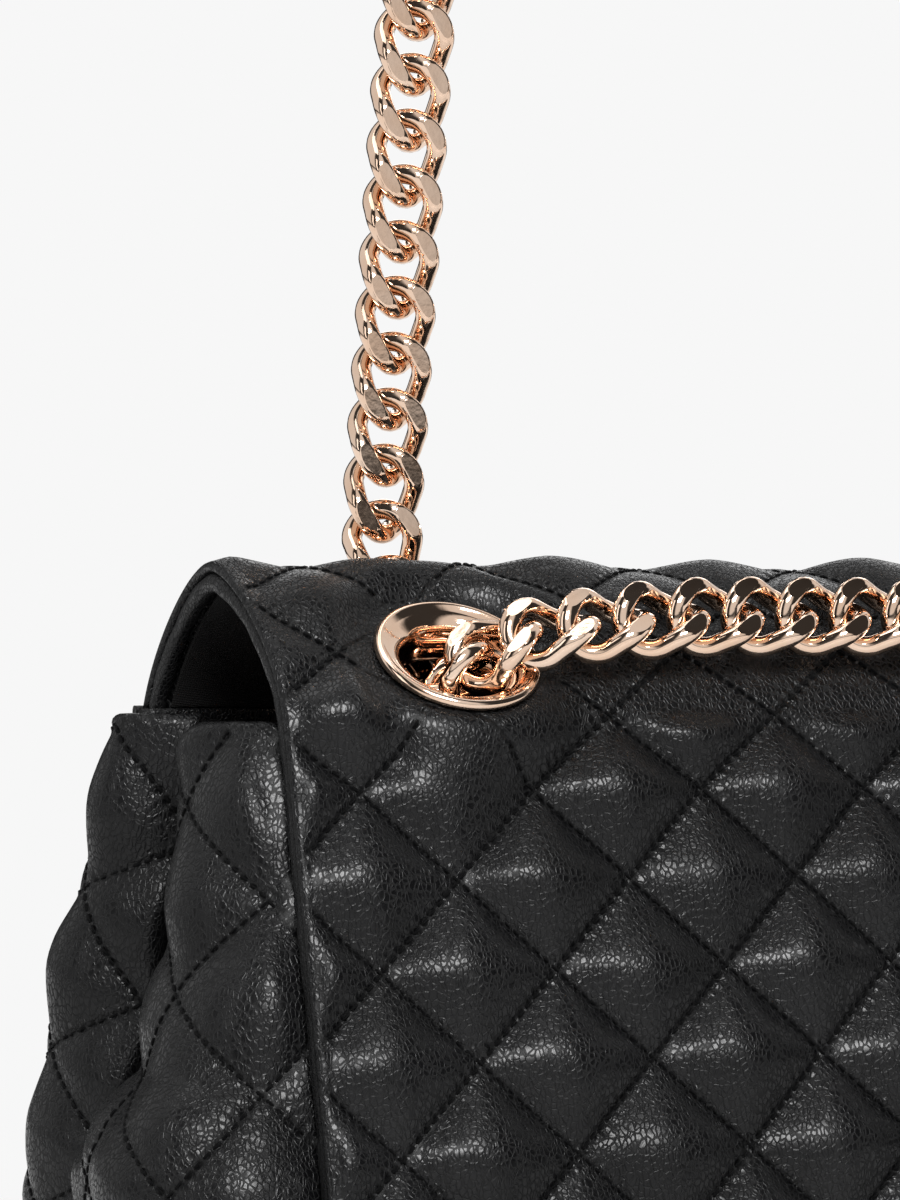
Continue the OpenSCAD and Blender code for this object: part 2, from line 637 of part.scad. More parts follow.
// The links turn a quarter between the eyelets, the same way round on both sides
function inner_widths(side) = concat(
  [for (k = [0 : inner_links - 1]) mix(front_up, side * along, pow((k + 0.5) / inner_links, turn_share))],
  [along, along]);
module left_inner_chain() { chain(inner_route, inner_widths(-1)); }
module right_inner_chain() { chain(over_x(inner_route), over_w(inner_widths(1))); }
module riser(side, section) {
  route = [for (k = [0 : section_links]) riser_point(section * section_links + k)];
  chain(side < 0 ? route : over_x(route), [for (k = [1 : section_links]) along]);
}
module left_strap_lower() { riser(-1, 0); }
module right_strap_lower() { riser(1, 0); }
module left_strap_middle() { riser(-1, 1); }
module right_strap_middle() { riser(1, 1); }
module left_strap_upper() { riser(-1, 2); }
module right_strap_upper() { riser(1, 2); }
module strap_crown() {
  route = [for (k = [0 : crown_links]) crown_point(k)];
  chain(route, [for (i = [0 : crown_links - 1]) unit(cross([0, 1, 0], route[i + 1] - route[i]))]);
}

front_shell();
back_shell();
left_gusset();
right_gusset();
base_panel();
base_board();
front_lining();
back_lining();
base_lining();
left_gusset_lining();
right_gusset_lining();
front_facing();
back_facing();
slip_pocket();
snap_socket();
snap_socket_washer();
flap_outer();
flap_lining();
flap_bindings();
snap_stud();
snap_stud_washer();
front_left_eyelet();
front_right_eyelet();
rear_left_eyelet();
rear_right_eyelet();
eyelet_washers();
front_chain();
left_inner_chain();
right_inner_chain();
left_strap_lower();
right_strap_lower();
left_strap_middle();
right_strap_middle();
left_strap_upper();
right_strap_upper();
strap_crown();
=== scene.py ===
import math
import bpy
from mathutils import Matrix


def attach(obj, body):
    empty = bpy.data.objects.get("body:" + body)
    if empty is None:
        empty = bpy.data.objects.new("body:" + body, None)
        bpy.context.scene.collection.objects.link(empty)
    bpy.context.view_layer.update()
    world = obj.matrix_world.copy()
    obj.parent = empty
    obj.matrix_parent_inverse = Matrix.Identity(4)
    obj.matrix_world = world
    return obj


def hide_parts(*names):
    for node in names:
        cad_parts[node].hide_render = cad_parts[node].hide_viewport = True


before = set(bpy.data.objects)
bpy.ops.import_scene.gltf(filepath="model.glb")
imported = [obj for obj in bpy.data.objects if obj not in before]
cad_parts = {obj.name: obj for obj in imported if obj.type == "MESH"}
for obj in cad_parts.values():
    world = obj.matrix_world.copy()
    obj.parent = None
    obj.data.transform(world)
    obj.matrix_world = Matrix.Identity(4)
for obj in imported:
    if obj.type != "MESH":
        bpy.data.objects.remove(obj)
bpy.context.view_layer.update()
from types import SimpleNamespace
import bpy
import numpy as np
from mathutils import Matrix, Vector

bl_info = {
    "name": "Quilted chain bag",
    "version": (1, 0, 0),
    "blender": (4, 5, 0),
    "location": "3D View > Sidebar > Chain bag",
    "description": "Dresses the CAD frame of a quilted flap bag with leather, cloth, thread and polished chain",
    "category": "Object",
}

# Lengths are in millimetres and angles in radians, unless a line says otherwise.
GAP = 0.3                                   # air between layers that lie on each other
DIAMOND = 33.0                              # a quilting diamond, corner to corner
SEAM_STEP = DIAMOND / math.sqrt(2)          # from seam to seam
STITCH_PITCH = 2.35
# Heights at which two seams cross in the middle of the flap, the front shell and the back shell.
FLAP_CROSSING, FRONT_CROSSING, BACK_CROSSING = 132, 160.3, 132.9
SHOULDER_DIAMOND = 2 * 13.8                 # height of a diamond over the flap's shoulder
CHAIN_LINE = -23.5                          # where the front chain lies on the flap, along Y
INNER_LOW, SIDE_HEIGHT = 8.2, 163.6         # lower edge of linings and side strips; height of the strips
SHELL_LOW, WRAP_TOP = 4.3, 0.9904           # lower edge of the shells; top of the wraps, in body heights
FRONT_CORNER, BACK_CORNER = 20.0, 14.0      # rounding of the body's corners, seen from above
FACE_END, RIDGE_END = 161, 321              # points of the flap's section up to the shoulder and the ridge
FACE_PART = 170                             # points of the section that heights on the face are read from
FRONT_EYELET, REAR_EYELET = (92.5, -19.25, 186.5), (90.0, 19.0, 193.0)
EYELET_RISE = math.radians(52)              # how far the eyelets' axes point upwards
EYELET_HOLE, EYELET_REACH = 13.1, 9         # hole's radius in the leather; how far along the axis it is cut
PALE = (0.93, 0.93, 0.93, 1)                # background
# Name, place and size in metres, power in watts.
LAMPS = (("key", (-0.30, -0.95, 0.93), (0.50, 0.40), 14.0), ("top", (-0.15, 0.25, 1.35), (1.1, 0.5), 3.0),
         ("left", (-1.25, -0.35, 0.75), (0.35, 1.0), 1.5), ("rim", (0.6, 1.2, 0.9), (0.9, 0.5), 3.0))
LAMP_AIM = (0, 0, 0.17)
CAMERA_PLACE = (-0.38903, -0.76886, 0.18307)
CAMERA_TURN, CAMERA_UP, CAMERA_ROLL = math.radians(21.5), math.radians(1.0), math.radians(0.16)
CAMERA_FOCUS, PHOTO_ROWS, SENSOR = 4471, 1200, 24


def length(name, about, value):
    return bpy.props.FloatProperty(name=name, description=about, default=value, unit="LENGTH", precision=4)


def colour(name, about, value):
    return bpy.props.FloatVectorProperty(name=name, description=about, default=value, min=0, max=1,
                                         subtype="COLOR")


class BagBodySizes(bpy.types.PropertyGroup):
    """Sizes of the two padded shells"""
    body_h: length("Body height", "Height of the back panel, up to the hinge", 0.177)
    top_half_w: length("Half width at the top", "Half of the width at the top of the body", 0.143)
    belly_half_w: length("Half width at the belly", "Half of the width at the fullest height", 0.158)
    belly_h: length("Belly height", "Height of the fullest point", 0.060)
    side_step: length("Side step", "How far the front half of each side stands in", 0.003)
    back_top_y: length("Back at the top", "Back face at the top", 0.032)
    back_belly_y: length("Back at the belly", "Back face at the fullest height", 0.049)
    shell_t: length("Shell thickness", "Thickness of the padded leather", 0.0045)
    back_crown: length("Back crown", "Outward crown of the back panel", 0.004)
    base_round: length("Bottom rounding", "Rounding along the bottom edge", 0.010)
    fold_y: length("Fold place", "Place of the fold in each side", 0.010)
    fold_gap: length("Fold width", "Open width of the fold", 0.005)
    hook_r: length("Rolled edge", "Radius of the rolled edge at the fold", 0.006)
    fold_in: length("Fold depth", "How much deeper the sides fold in where they fold most", 0.010)


class BagFlapSizes(bpy.types.PropertyGroup):
    """Sizes of the flap"""
    flap_h: length("Ridge height", "Height of the flap's ridge", 0.2045)
    shoulder_y: length("Shoulder place", "Front face where the shoulder starts", -0.0285)
    shoulder_z: length("Shoulder height", "Height where the shoulder starts", 0.174)
    front_slope: bpy.props.FloatProperty(name="Front slope", subtype="ANGLE", default=math.radians(17.7),
                                         description="Slope of the front face, from upright")
    flap_low_z: length("Lower edge height", "Height of the flap's lower edge", 0.038)
    flap_low_y: length("Lower edge place", "Front face at the lower edge", -0.067)
    flap_half_w: length("Half width", "Half of the flap's width at the ridge", 0.1283)
    flap_flare: length("Flare", "How much wider each side is at the lower edge", 0.0025)
    flap_corner_r: length("Corner rounding", "Rounding of the lower corners", 0.022)
    flap_t: length("Flap thickness", "Thickness of the padded leather", 0.0045)
    lining_t: length("Lining thickness", "Thickness of the lining", 0.001)


class BagQuilting(bpy.types.PropertyGroup):
    """The quilting of the padded leather"""
    crown: length("Crown", "How far the middle of a diamond stands above its seams", 0.0034)
    sunk: length("Seam depth", "How far the seams lie below the plain face", 0.0013)
    grid: length("Mesh step", "Distance between points on the padded leather", 0.0013)


class BagChainSizes(bpy.types.PropertyGroup):
    """Sizes of the curb chain and its eyelets"""
    wire_d: length("Wire", "Diameter of the wire", 0.0039)
    link_w: length("Link width", "Width of a link", 0.0153)
    link_l: length("Link length", "Length of a link", 0.0192)
    link_t: length("Filed thickness", "Thickness between the filed faces", 0.0070)
    bow_r: length("Bow radius", "Radius of a link's bow", 0.0057)
    pitch: length("Pitch", "Distance between links", 0.0107)
    eyelet_d: length("Eyelet", "Outer diameter of the eyelet's flange", 0.031)


class BagFinishes(bpy.types.PropertyGroup):
    """Colours of the materials"""
    leather: colour("Leather", "Dyed grained leather", (0.0030, 0.0030, 0.0033))
    # The lining's tint is partly its own dark colour and partly painted shade: it is kept this dark to stand in
    # for the shade inside the flap's tunnel.
    cloth: colour("Lining", "Woven lining", (0.0090, 0.0085, 0.0085))
    thread: colour("Thread", "Sewing thread", (0.0018, 0.0018, 0.0020))
    metal: colour("Metal", "Polished rose gold plating", (0.92, 0.70, 0.55))
    board: colour("Board", "Fibre board", (0.17, 0.13, 0.09))


def sizes():
    """All sizes in millimetres, the way they are worked with below."""
    out = {}
    for key in ("bag_body", "bag_flap", "bag_chain", "bag_quilting"):
        group = getattr(bpy.context.scene, key)
        for item in group.__annotations__:
            out[item] = getattr(group, item) * (1 if item == "front_slope" else 1000)
    return SimpleNamespace(**out)


def mix(a, b, t):
    return a + (b - a) * t


def smooth(t):
    t = np.clip(t, 0, 1)
    return t * t * (3 - 2 * t)


def unit(v):
    return v / np.linalg.norm(v)


def bezier(points, t):
    p = [np.asarray(q, float) for q in points]
    t = np.asarray(t, float)[..., None]
    return (1 - t) ** 3 * p[0] + 3 * (1 - t) ** 2 * t * p[1] + 3 * (1 - t) * t * t * p[2] + t ** 3 * p[3]


def drawn_in(d, r):
    """How far a rounding of radius r draws a face in, at a distance from its end."""
    d = np.clip(d, 0, r)
    return r - np.sqrt(np.maximum(r * r - (r - d) ** 2, 0))


def arc_length(line):
    return np.concatenate([[0], np.cumsum(np.linalg.norm(np.diff(line, axis=0), axis=1))])


def flap_section(s):
    """The flap's outer line in the YZ plane, from the lower edge over the ridge to the hinge."""
    slope = np.array([math.sin(s.front_slope), math.cos(s.front_slope)])
    shoulder = np.array([s.shoulder_y, s.shoulder_z])
    low = np.array([s.flap_low_y, s.flap_low_z])
    ridge = np.array([mix(s.shoulder_y, s.back_top_y, 0.52), s.flap_h])
    hinge = np.array([s.back_top_y, s.body_h])
    reach = np.linalg.norm(shoulder - low)
    face = [low, low + np.array([0.04, 0.31]) * reach, shoulder - slope * reach / 3, shoulder]
    front = [shoulder, shoulder + slope * (s.flap_h - s.shoulder_z) * 0.46,
             ridge - [(ridge[0] - s.shoulder_y) * 0.38, 0], ridge]
    rear = [ridge, ridge + [(s.back_top_y - ridge[0]) * 0.38, 0],
            hinge + np.array([-0.036, 0.473]) * (s.flap_h - s.body_h), hinge]
    t = np.linspace(0, 1, FACE_END)
    line = np.vstack([bezier(face, t)[:-1], bezier(front, t)[:-1], bezier(rear, t)])
    return line, ridge[0], low


def flap_face(s, z):
    """Front face of the flap at a height, for what lies behind it."""
    line = flap_section(s)[0][:FACE_PART]
    return np.where(z < s.flap_low_z, s.flap_low_y, np.interp(z, line[:, 1], line[:, 0]))


def half_w(s, z):
    """Half of the body's width at a height."""
    up = s.body_h - s.belly_h
    heights = [0, s.belly_h / 2, s.belly_h, s.belly_h + 0.3 * up, s.belly_h + 0.6 * up, s.body_h]
    widths = [s.belly_half_w - 2, s.belly_half_w, s.belly_half_w, mix(s.belly_half_w, s.top_half_w, 0.17),
              mix(s.belly_half_w, s.top_half_w, 0.47), s.top_half_w]
    return np.interp(z, heights, widths) - drawn_in(z, s.base_round)


def back_y(s, z):
    """Back face of the body at a height."""
    up = s.body_h - s.belly_h
    places = [s.back_belly_y, s.back_belly_y, mix(s.back_belly_y, s.back_top_y, 0.32),
              mix(s.back_belly_y, s.back_top_y, 0.7), s.back_top_y]
    heights = [0, s.belly_h, s.belly_h + 0.5 * up, s.belly_h + 0.8 * up, s.body_h]
    return np.interp(z, heights, places) - drawn_in(z, s.base_round)


def front_y(s, z):
    """Front face of the body at a height, behind the flap and its lining."""
    behind = (s.flap_t + GAP + s.lining_t + 0.9) / math.cos(s.front_slope)
    return flap_face(s, z) + behind + drawn_in(z, s.base_round)


def tuck(s, which, z):
    """How deep the sides fold in, like an accordion, between the two halves."""
    if which == "front":
        deep = np.interp(z, [0, 60, 100, 112, 125, 165, 177], [0, 0, 0.1, 0.7, 1.0, 1.0, 0.85])
    else:
        deep = np.interp(z, [0, 12, 40, 70, 100, 130, 165, 177], [0, 0, 0.15, 0.4, 0.7, 1.0, 1.0, 0.85])
    return s.hook_r + deep * s.fold_in


def plan_half(s, hw, face, edge, inset, crown, hooked=True, fold=None):
    """Half of the body's outline at a height, from the middle of the face round the corner to the fold."""
    g = np.sign(edge - face)
    w, f = hw - inset, face + g * inset
    corner = FRONT_CORNER if g > 0 else BACK_CORNER
    rx, ry = corner - inset, min(corner, abs(edge - face) - s.hook_r - GAP) - inset
    mid = hw - corner
    k = np.linspace(0, 1, 25)[:-1]
    pts = [np.stack([mid * k, f - g * crown * (1 - k * k)], 1)]
    a = np.radians(np.linspace(90, 0, 19))
    pts.append(np.stack([mid + rx * np.cos(a), f + g * (ry - ry * np.sin(a))], 1))
    fold = s.hook_r if fold is None else fold
    start = pts[-1][-1]
    end = np.array([w - fold + inset, edge] if hooked else [w - 0.45 * fold, edge - g * s.hook_r])
    reach = abs(end[1] - start[1])
    way = [start, start + [0, 0.5 * g * reach], end + [0.5 * (start[0] - end[0]), -0.2 * g * reach], end]
    way = bezier(way, np.linspace(0, 1, 25))
    pts.append(way[1:])
    return np.vstack(pts)


def front_top(s, x, y):
    """Height of the front shell's upper edge: low at the mouth, high on the wraps, lower in the folds."""
    mouth, wrap, fold = 0.949 * s.body_h, WRAP_TOP * s.body_h, 0.9575 * s.body_h
    m = 0.727 * s.top_half_w
    side = smooth((np.abs(x) - m) / (s.top_half_w - 20 - m + s.hook_r))
    back = smooth((y + s.hook_r) / (s.fold_y - s.fold_gap / 2 + s.hook_r))
    return mix(mix(mouth, wrap, side), fold, back * side)


def spaced(length, step, fine):
    """Places from 0 to length, about a step apart, and closer at both ends where the edge is rounded."""
    near = np.array(fine)
    n = max(2, int(round((length - 2 * near[-1]) / step)))
    middle = np.linspace(near[-1], length - near[-1], n + 1)
    return np.concatenate([near[:-1], middle, length - near[:-1][::-1]])


def body_grid(s, which, inset, low, high, step, fine, hooked=True):
    """Points of one wall of the body, rows from low to high, columns from the left fold to the right one.
    Also gives each point's distance along the wall from the middle."""
    front = which == "front"
    zs = low + spaced(high - low, step, fine)
    rows = []
    for z in zs:
        hw = half_w(s, z) - (s.side_step if front else 0) + spread(s, which, z)
        face = float(front_y(s, z) if front else back_y(s, z))
        edge = s.fold_y + (-s.fold_gap if front else s.fold_gap) / 2
        crown = 0 if front else s.back_crown * math.sin(math.pi * z / s.body_h)
        line = plan_half(s, hw, face, edge, inset, crown, hooked, tuck(s, which, z))
        rows.append((line, arc_length(line)))
    count = len(spaced(2 * max(a[-1] for _, a in rows), step, fine))
    P, D = np.zeros((len(zs), count, 3)), np.zeros((len(zs), count))
    for j, (line, a) in enumerate(rows):
        wide = spaced(2 * a[-1], step, fine)
        d = np.interp(np.linspace(0, 1, count), np.linspace(0, 1, len(wide)), wide) - a[-1]
        x = np.interp(np.abs(d), a, line[:, 0]) * np.sign(d)
        y = np.interp(np.abs(d), a, line[:, 1])
        z = np.full_like(x, zs[j])
        if front:
            z = mix(SHELL_LOW, front_top(s, x, y), (zs[j] - SHELL_LOW) / (WRAP_TOP * s.body_h - SHELL_LOW))
        P[j], D[j] = np.stack([x, y, z], 1), d
    return P, D


def spread(s, which, z):
    """How far the filled bag pushes the sides of each half out, or lets them fall in."""
    if which == "back":
        return np.interp(z, [0, 60, 115, 135, 150, 177], [0.0, 1.4, 2.4, 2.6, 1.2, 2.0])
    return np.interp(z, [0, 60, 98, 105, 112, 122, 133, 156, 177],
                     [0.5, 3.0, 8.6, 6.6, 0.8, 0.6, -2.3, -1.8, -2.0])


def select_nothing():
    if bpy.context.object and bpy.context.object.mode != "OBJECT":
        bpy.ops.object.mode_set(mode="OBJECT")
    bpy.ops.object.select_all(action="DESELECT")


def only(obj):
    select_nothing()
    obj.select_set(True)
    bpy.context.view_layer.objects.active = obj


def select_faces(mesh, chosen):
    """Selects just these faces of the active object and leaves it in edit mode."""
    bpy.ops.object.mode_set(mode="EDIT")
    bpy.ops.mesh.select_mode(type="FACE")
    bpy.ops.mesh.select_all(action="DESELECT")
    bpy.ops.object.mode_set(mode="OBJECT")
    mesh.polygons.foreach_set("select", chosen)
    bpy.ops.object.mode_set(mode="EDIT")


def merge_points(threshold):
    """Merges points that coincide, on the active object in edit mode."""
    bpy.ops.mesh.select_mode(type="VERT")
    bpy.ops.mesh.select_all(action="SELECT")
    bpy.ops.mesh.remove_doubles(threshold=threshold)


def join(name, first, *others):
    """Joins pieces into the first one."""
    only(first)
    for obj in others:
        obj.select_set(True)
    bpy.ops.object.join()
    first.name = first.data.name = name
    return first


def points_of(mesh):
    co = np.empty(len(mesh.vertices) * 3)
    mesh.vertices.foreach_get("co", co)
    return co.reshape(-1, 3)


def move_points(mesh, co):
    mesh.vertices.foreach_set("co", np.ascontiguousarray(co, float).ravel())
    mesh.update()


def net(name, points, uv=None, uv_name="quilt"):
    """A grid primitive whose points are moved to the given places, rows by columns, in millimetres."""
    select_nothing()
    rows, cols = points.shape[:2]
    bpy.ops.mesh.primitive_grid_add(x_subdivisions=cols - 1, y_subdivisions=rows - 1, size=1, calc_uvs=True)
    obj = bpy.context.object
    obj.name = obj.data.name = name
    count = len(obj.data.vertices)
    if count != rows * cols:
        raise RuntimeError(f"{name}: the grid came out with {count} points, not {rows * cols}")
    move_points(obj.data, points.reshape(-1, 3) * 0.001)
    if uv is not None:
        layer = obj.data.uv_layers[0]
        layer.name = uv_name
        corner = np.empty(len(obj.data.loops), int)
        obj.data.loops.foreach_get("vertex_index", corner)
        layer.data.foreach_set("uv", uv.reshape(-1, 2)[corner].ravel())
    return obj


def close_up(obj, angle=50):
    """Merges the seams, turns every face outwards and smooths the shading."""
    only(obj)
    bpy.ops.object.mode_set(mode="EDIT")
    merge_points(1e-6)
    bpy.ops.mesh.dissolve_degenerate(threshold=1e-7)
    bpy.ops.mesh.select_all(action="SELECT")
    bpy.ops.mesh.normals_make_consistent(inside=False)
    bpy.ops.object.mode_set(mode="OBJECT")
    bpy.ops.object.shade_smooth_by_angle(angle=math.radians(angle))
    return obj


def skin(name, outer, inner, uv=None, uv_name="quilt"):
    """A closed skin: up over the outer points and back down over the inner ones."""
    inner = inner.copy()
    for edge in (np.s_[0], np.s_[-1], np.s_[:, 0], np.s_[:, -1]):
        inner[edge] = outer[edge]
    points = np.concatenate([outer, inner[-2::-1]])
    if uv is not None:
        uv = np.concatenate([uv, uv[-2::-1]])
    return net(name, points, uv, uv_name)


def normals_of(points):
    n = np.cross(np.gradient(points, axis=1), np.gradient(points, axis=0))
    return n / np.maximum(np.linalg.norm(n, axis=2, keepdims=True), 1e-9)


def rounded(edge, r):
    """Share of the full thickness at a distance from a round edge."""
    return np.sqrt(np.maximum(1 - (1 - np.minimum(edge / r, 1)) ** 2, 0))


def two_faces(mid, N, half, relief):
    """Outer and inner face about a middle one. The relief is on the outer face alone."""
    return mid + N * (half + relief)[..., None], mid - N * half[..., None]


def pillow(alpha, beta, crown, sunk):
    """Height of the quilting over the plain face. Seams lie where alpha or beta is whole."""
    fa, fb = alpha - np.round(alpha), beta - np.round(beta)
    u, v = np.abs(2 * fa), np.abs(2 * fb)
    blend = np.maximum(0.3 - np.abs(u - v), 0) / 0.3
    slope = np.clip(np.minimum(u, v) - blend ** 2 * 0.075, 0, 1)
    ka, kb = np.floor(alpha), np.floor(beta)
    fill = 1 + 0.13 * np.sin(ka * 12.9 + kb * 78.2) + 0.05 * np.sin(ka * 4.7 - kb * 9.1)
    body = 0.72 * (1 - (1 - slope) ** 1.45) + 0.28 * (1 - (1 - u) ** 2) * (1 - (1 - v) ** 2)
    lean = np.cos(ka * 3.1 + kb * 5.3) * (alpha - ka - 0.5) + np.sin(ka * 7.7 + kb * 2.9) * (beta - kb - 0.5)
    return (crown + sunk) * (fill + 0.16 * lean) * body - sunk


def ripples(x, y, size):
    """Slow unevenness of stuffed leather."""
    slow = np.sin(x / 9.3 + 1.3 * np.sin(y / 17)) * np.sin(y / 7.9 + 0.7)
    return size * (slow + 0.6 * np.sin(x / 4.1 - y / 5.3))


def edge_distance(points):
    """Distances on a grid: to the nearer side, from the first row, to the last row, from the left side."""
    down = np.linalg.norm(np.diff(points, axis=0), axis=2)
    along = np.linalg.norm(np.diff(points, axis=1), axis=2)
    v = np.concatenate([np.zeros((1, points.shape[1])), np.cumsum(down, axis=0)])
    u = np.concatenate([np.zeros((points.shape[0], 1)), np.cumsum(along, axis=1)], axis=1)
    return np.minimum(u, u[:, -1:] - u), v, v[-1:] - v, u


def eyelet_frames():
    """Centre and axis of each eyelet: front left, front right, rear left, rear right."""
    c, d = math.cos(EYELET_RISE), math.sin(EYELET_RISE)
    return [(np.array([g * x, y, z]), np.array([0, f * c, d]))
            for (x, y, z), f in ((FRONT_EYELET, -1), (REAR_EYELET, 1)) for g in (-1, 1)]


def about_axis(points, centre, axis):
    """Height of points along an axis, their vectors out from it and their distances from it."""
    d = points - centre
    h = d @ axis
    out = d - h[..., None] * axis
    return h, out, np.linalg.norm(out, axis=-1)


def cut_holes(obj, radius, frames):
    """Cuts a round hole through both faces of a skin at each eyelet and closes its wall."""
    for centre, axis in frames:
        only(obj)
        h, _, rho = about_axis(points_of(obj.data) * 1000, centre, axis)
        close = (rho < radius + 0.35) & (np.abs(h) < EYELET_REACH)
        select_faces(obj.data, [all(close[v] for v in p.vertices) for p in obj.data.polygons])
        bpy.ops.mesh.delete(type="FACE")
        bpy.ops.mesh.select_mode(type="EDGE")
        bpy.ops.mesh.select_all(action="DESELECT")
        bpy.ops.mesh.select_non_manifold(extend=False, use_wire=False, use_multi_face=False,
                                         use_non_contiguous=False, use_verts=False)
        bpy.ops.mesh.bridge_edge_loops()
        bpy.ops.object.mode_set(mode="OBJECT")
        co = points_of(obj.data) * 1000
        h, out, rho = about_axis(co, centre, axis)
        rim = (rho < radius + 1.9) & (np.abs(h) < EYELET_REACH)
        drawn = (radius + np.maximum(rho - radius, 0) * 0.25)[:, None]
        co[rim] = (centre + h[:, None] * axis + out / np.maximum(rho, 1e-6)[:, None] * drawn)[rim]
        move_points(obj.data, co * 0.001)


def flap_half(s, y, z, ridge_y, low):
    """Half of the flap's width. It grows towards the lower edge and the hinge; the lower corners are round."""
    down = np.maximum(0, (s.shoulder_z - z) / (s.shoulder_z - s.flap_low_z))
    corner = drawn_in(np.hypot(y - low[0], z - low[1]), s.flap_corner_r)
    rear = 3.4 * np.clip((s.flap_h - z) / (s.flap_h - s.body_h), 0, 1)
    back = 4.2 * smooth((y - s.shoulder_y) / (ridge_y - s.shoulder_y))
    return s.flap_half_w + back + np.where(y < ridge_y, s.flap_flare * down - corner, rear)


def flap_lattice(line, a, at):
    """Height on the quilting's lattice at places along the section. Over the shoulder it shrinks."""
    d = at - np.interp(FLAP_CROSSING, line[:FACE_PART, 1], a[:FACE_PART])
    return np.where(d < DIAMOND, d, DIAMOND + (d - DIAMOND) * DIAMOND / SHOULDER_DIAMOND) + DIAMOND / 2


def flap_places(s, step, fine, short=0.0):
    """Places along the flap's section, and at each the point, the direction and the flap's half width."""
    line, ridge_y, low = flap_section(s)
    a = arc_length(line)
    at = spaced(a[-1] - short, step, fine)
    tangent = np.gradient(line, axis=0)
    tangent /= np.linalg.norm(tangent, axis=1, keepdims=True)
    y, z, ty, tz = (np.interp(at, a, k) for k in (*line.T, *tangent.T))
    w = flap_half(s, y, z, ridge_y, low)
    return (line, a, at), [k[:, None] for k in (y, z, ty, tz, w)]


def flap_points(s, depth, step, fine, side_in=0.0, short=0.0):
    """Grid of points at a depth under the flap's face, with the face's normals and the places along it."""
    section, (y, z, ty, tz, w) = flap_places(s, step, fine, short)
    w = w - side_in
    wide = spaced(2 * s.flap_half_w, step, fine)
    near = s.flap_half_w - np.abs(wide - s.flap_half_w)
    x = np.sign(wide / s.flap_half_w - 1) * (w - near[None, :] * w / s.flap_half_w)
    flat = 0 * x
    P = np.stack([x, y + tz * depth + flat, z - ty * depth + flat], 2)
    return P, np.stack([flat, flat - tz, flat + ty], 2), section


def sink_round_eyelets(P, mid, frames, height, inner=16.6, outer=25.0):
    """Draws the leather down onto the plane that each eyelet's flange sits on."""
    weight = np.zeros(P.shape[:2])
    for centre, axis in frames:
        h, flat, rho = about_axis(mid, centre, axis)
        w = np.where(np.abs(h) < 22, 1 - smooth((rho - inner) / (outer - inner)), 0)[..., None]
        P = P * (1 - w) + (centre + flat + height * axis) * w
        weight = np.maximum(weight, w[..., 0])
    return P, weight


def quilted_flap(s):
    """The flap's padded leather, from the lower edge over the ridge to the hinge."""
    face, N, (line, a, at) = flap_points(s, 0.0, s.grid, [0, 0.12, 0.45, 1.0, 1.8, 2.8])
    frames = eyelet_frames()
    side = edge_distance(face)[0]
    along = at[:, None] + 0 * side
    edge = np.minimum(np.minimum(side, along), at[-1] - along)
    depth_in = mix(2.1, s.flap_t, smooth((side - 3.3) / 2.4))
    mid = face - N * (depth_in / 2)[..., None]
    _, press = sink_round_eyelets(face, face, frames, 0)
    x, b = face[..., 0], flap_lattice(line, a, at)[:, None] + 0 * side
    alpha, beta = (x + b) / DIAMOND, (x - b) / DIAMOND
    chain_at = np.interp(CHAIN_LINE, line[FACE_END:RIDGE_END, 0], a[FACE_END:RIDGE_END])
    under_chain = (1 - smooth((np.abs(along - chain_at) - 7.8) / 6.5)) * (1 - smooth((np.abs(x) - 80) / 8))
    bent = smooth((along - np.interp(s.shoulder_z, line[:FACE_PART, 1], a[:FACE_PART]) - 6) / 16)
    relief = pillow(alpha, beta, s.crown * mix(1, 0.4, bent), s.sunk) + ripples(x, b, 0.22)
    relief *= smooth((edge - 0.8) / 4.5) * (1 - press) * (1 - under_chain)
    half = depth_in / 2 * rounded(edge, np.minimum(1.7, depth_in / 2 + 0.3))
    outer, inner = two_faces(mid, N, half, relief - 0.35 * under_chain)
    outer, _ = sink_round_eyelets(outer, mid, frames, -GAP)
    inner, _ = sink_round_eyelets(inner, mid, frames, -GAP - s.flap_t)
    obj = close_up(skin("flap_leather", outer, inner, np.stack([alpha, beta], 2)))
    cut_holes(obj, EYELET_HOLE, frames)
    return obj, (outer, N, alpha, beta, press, edge)


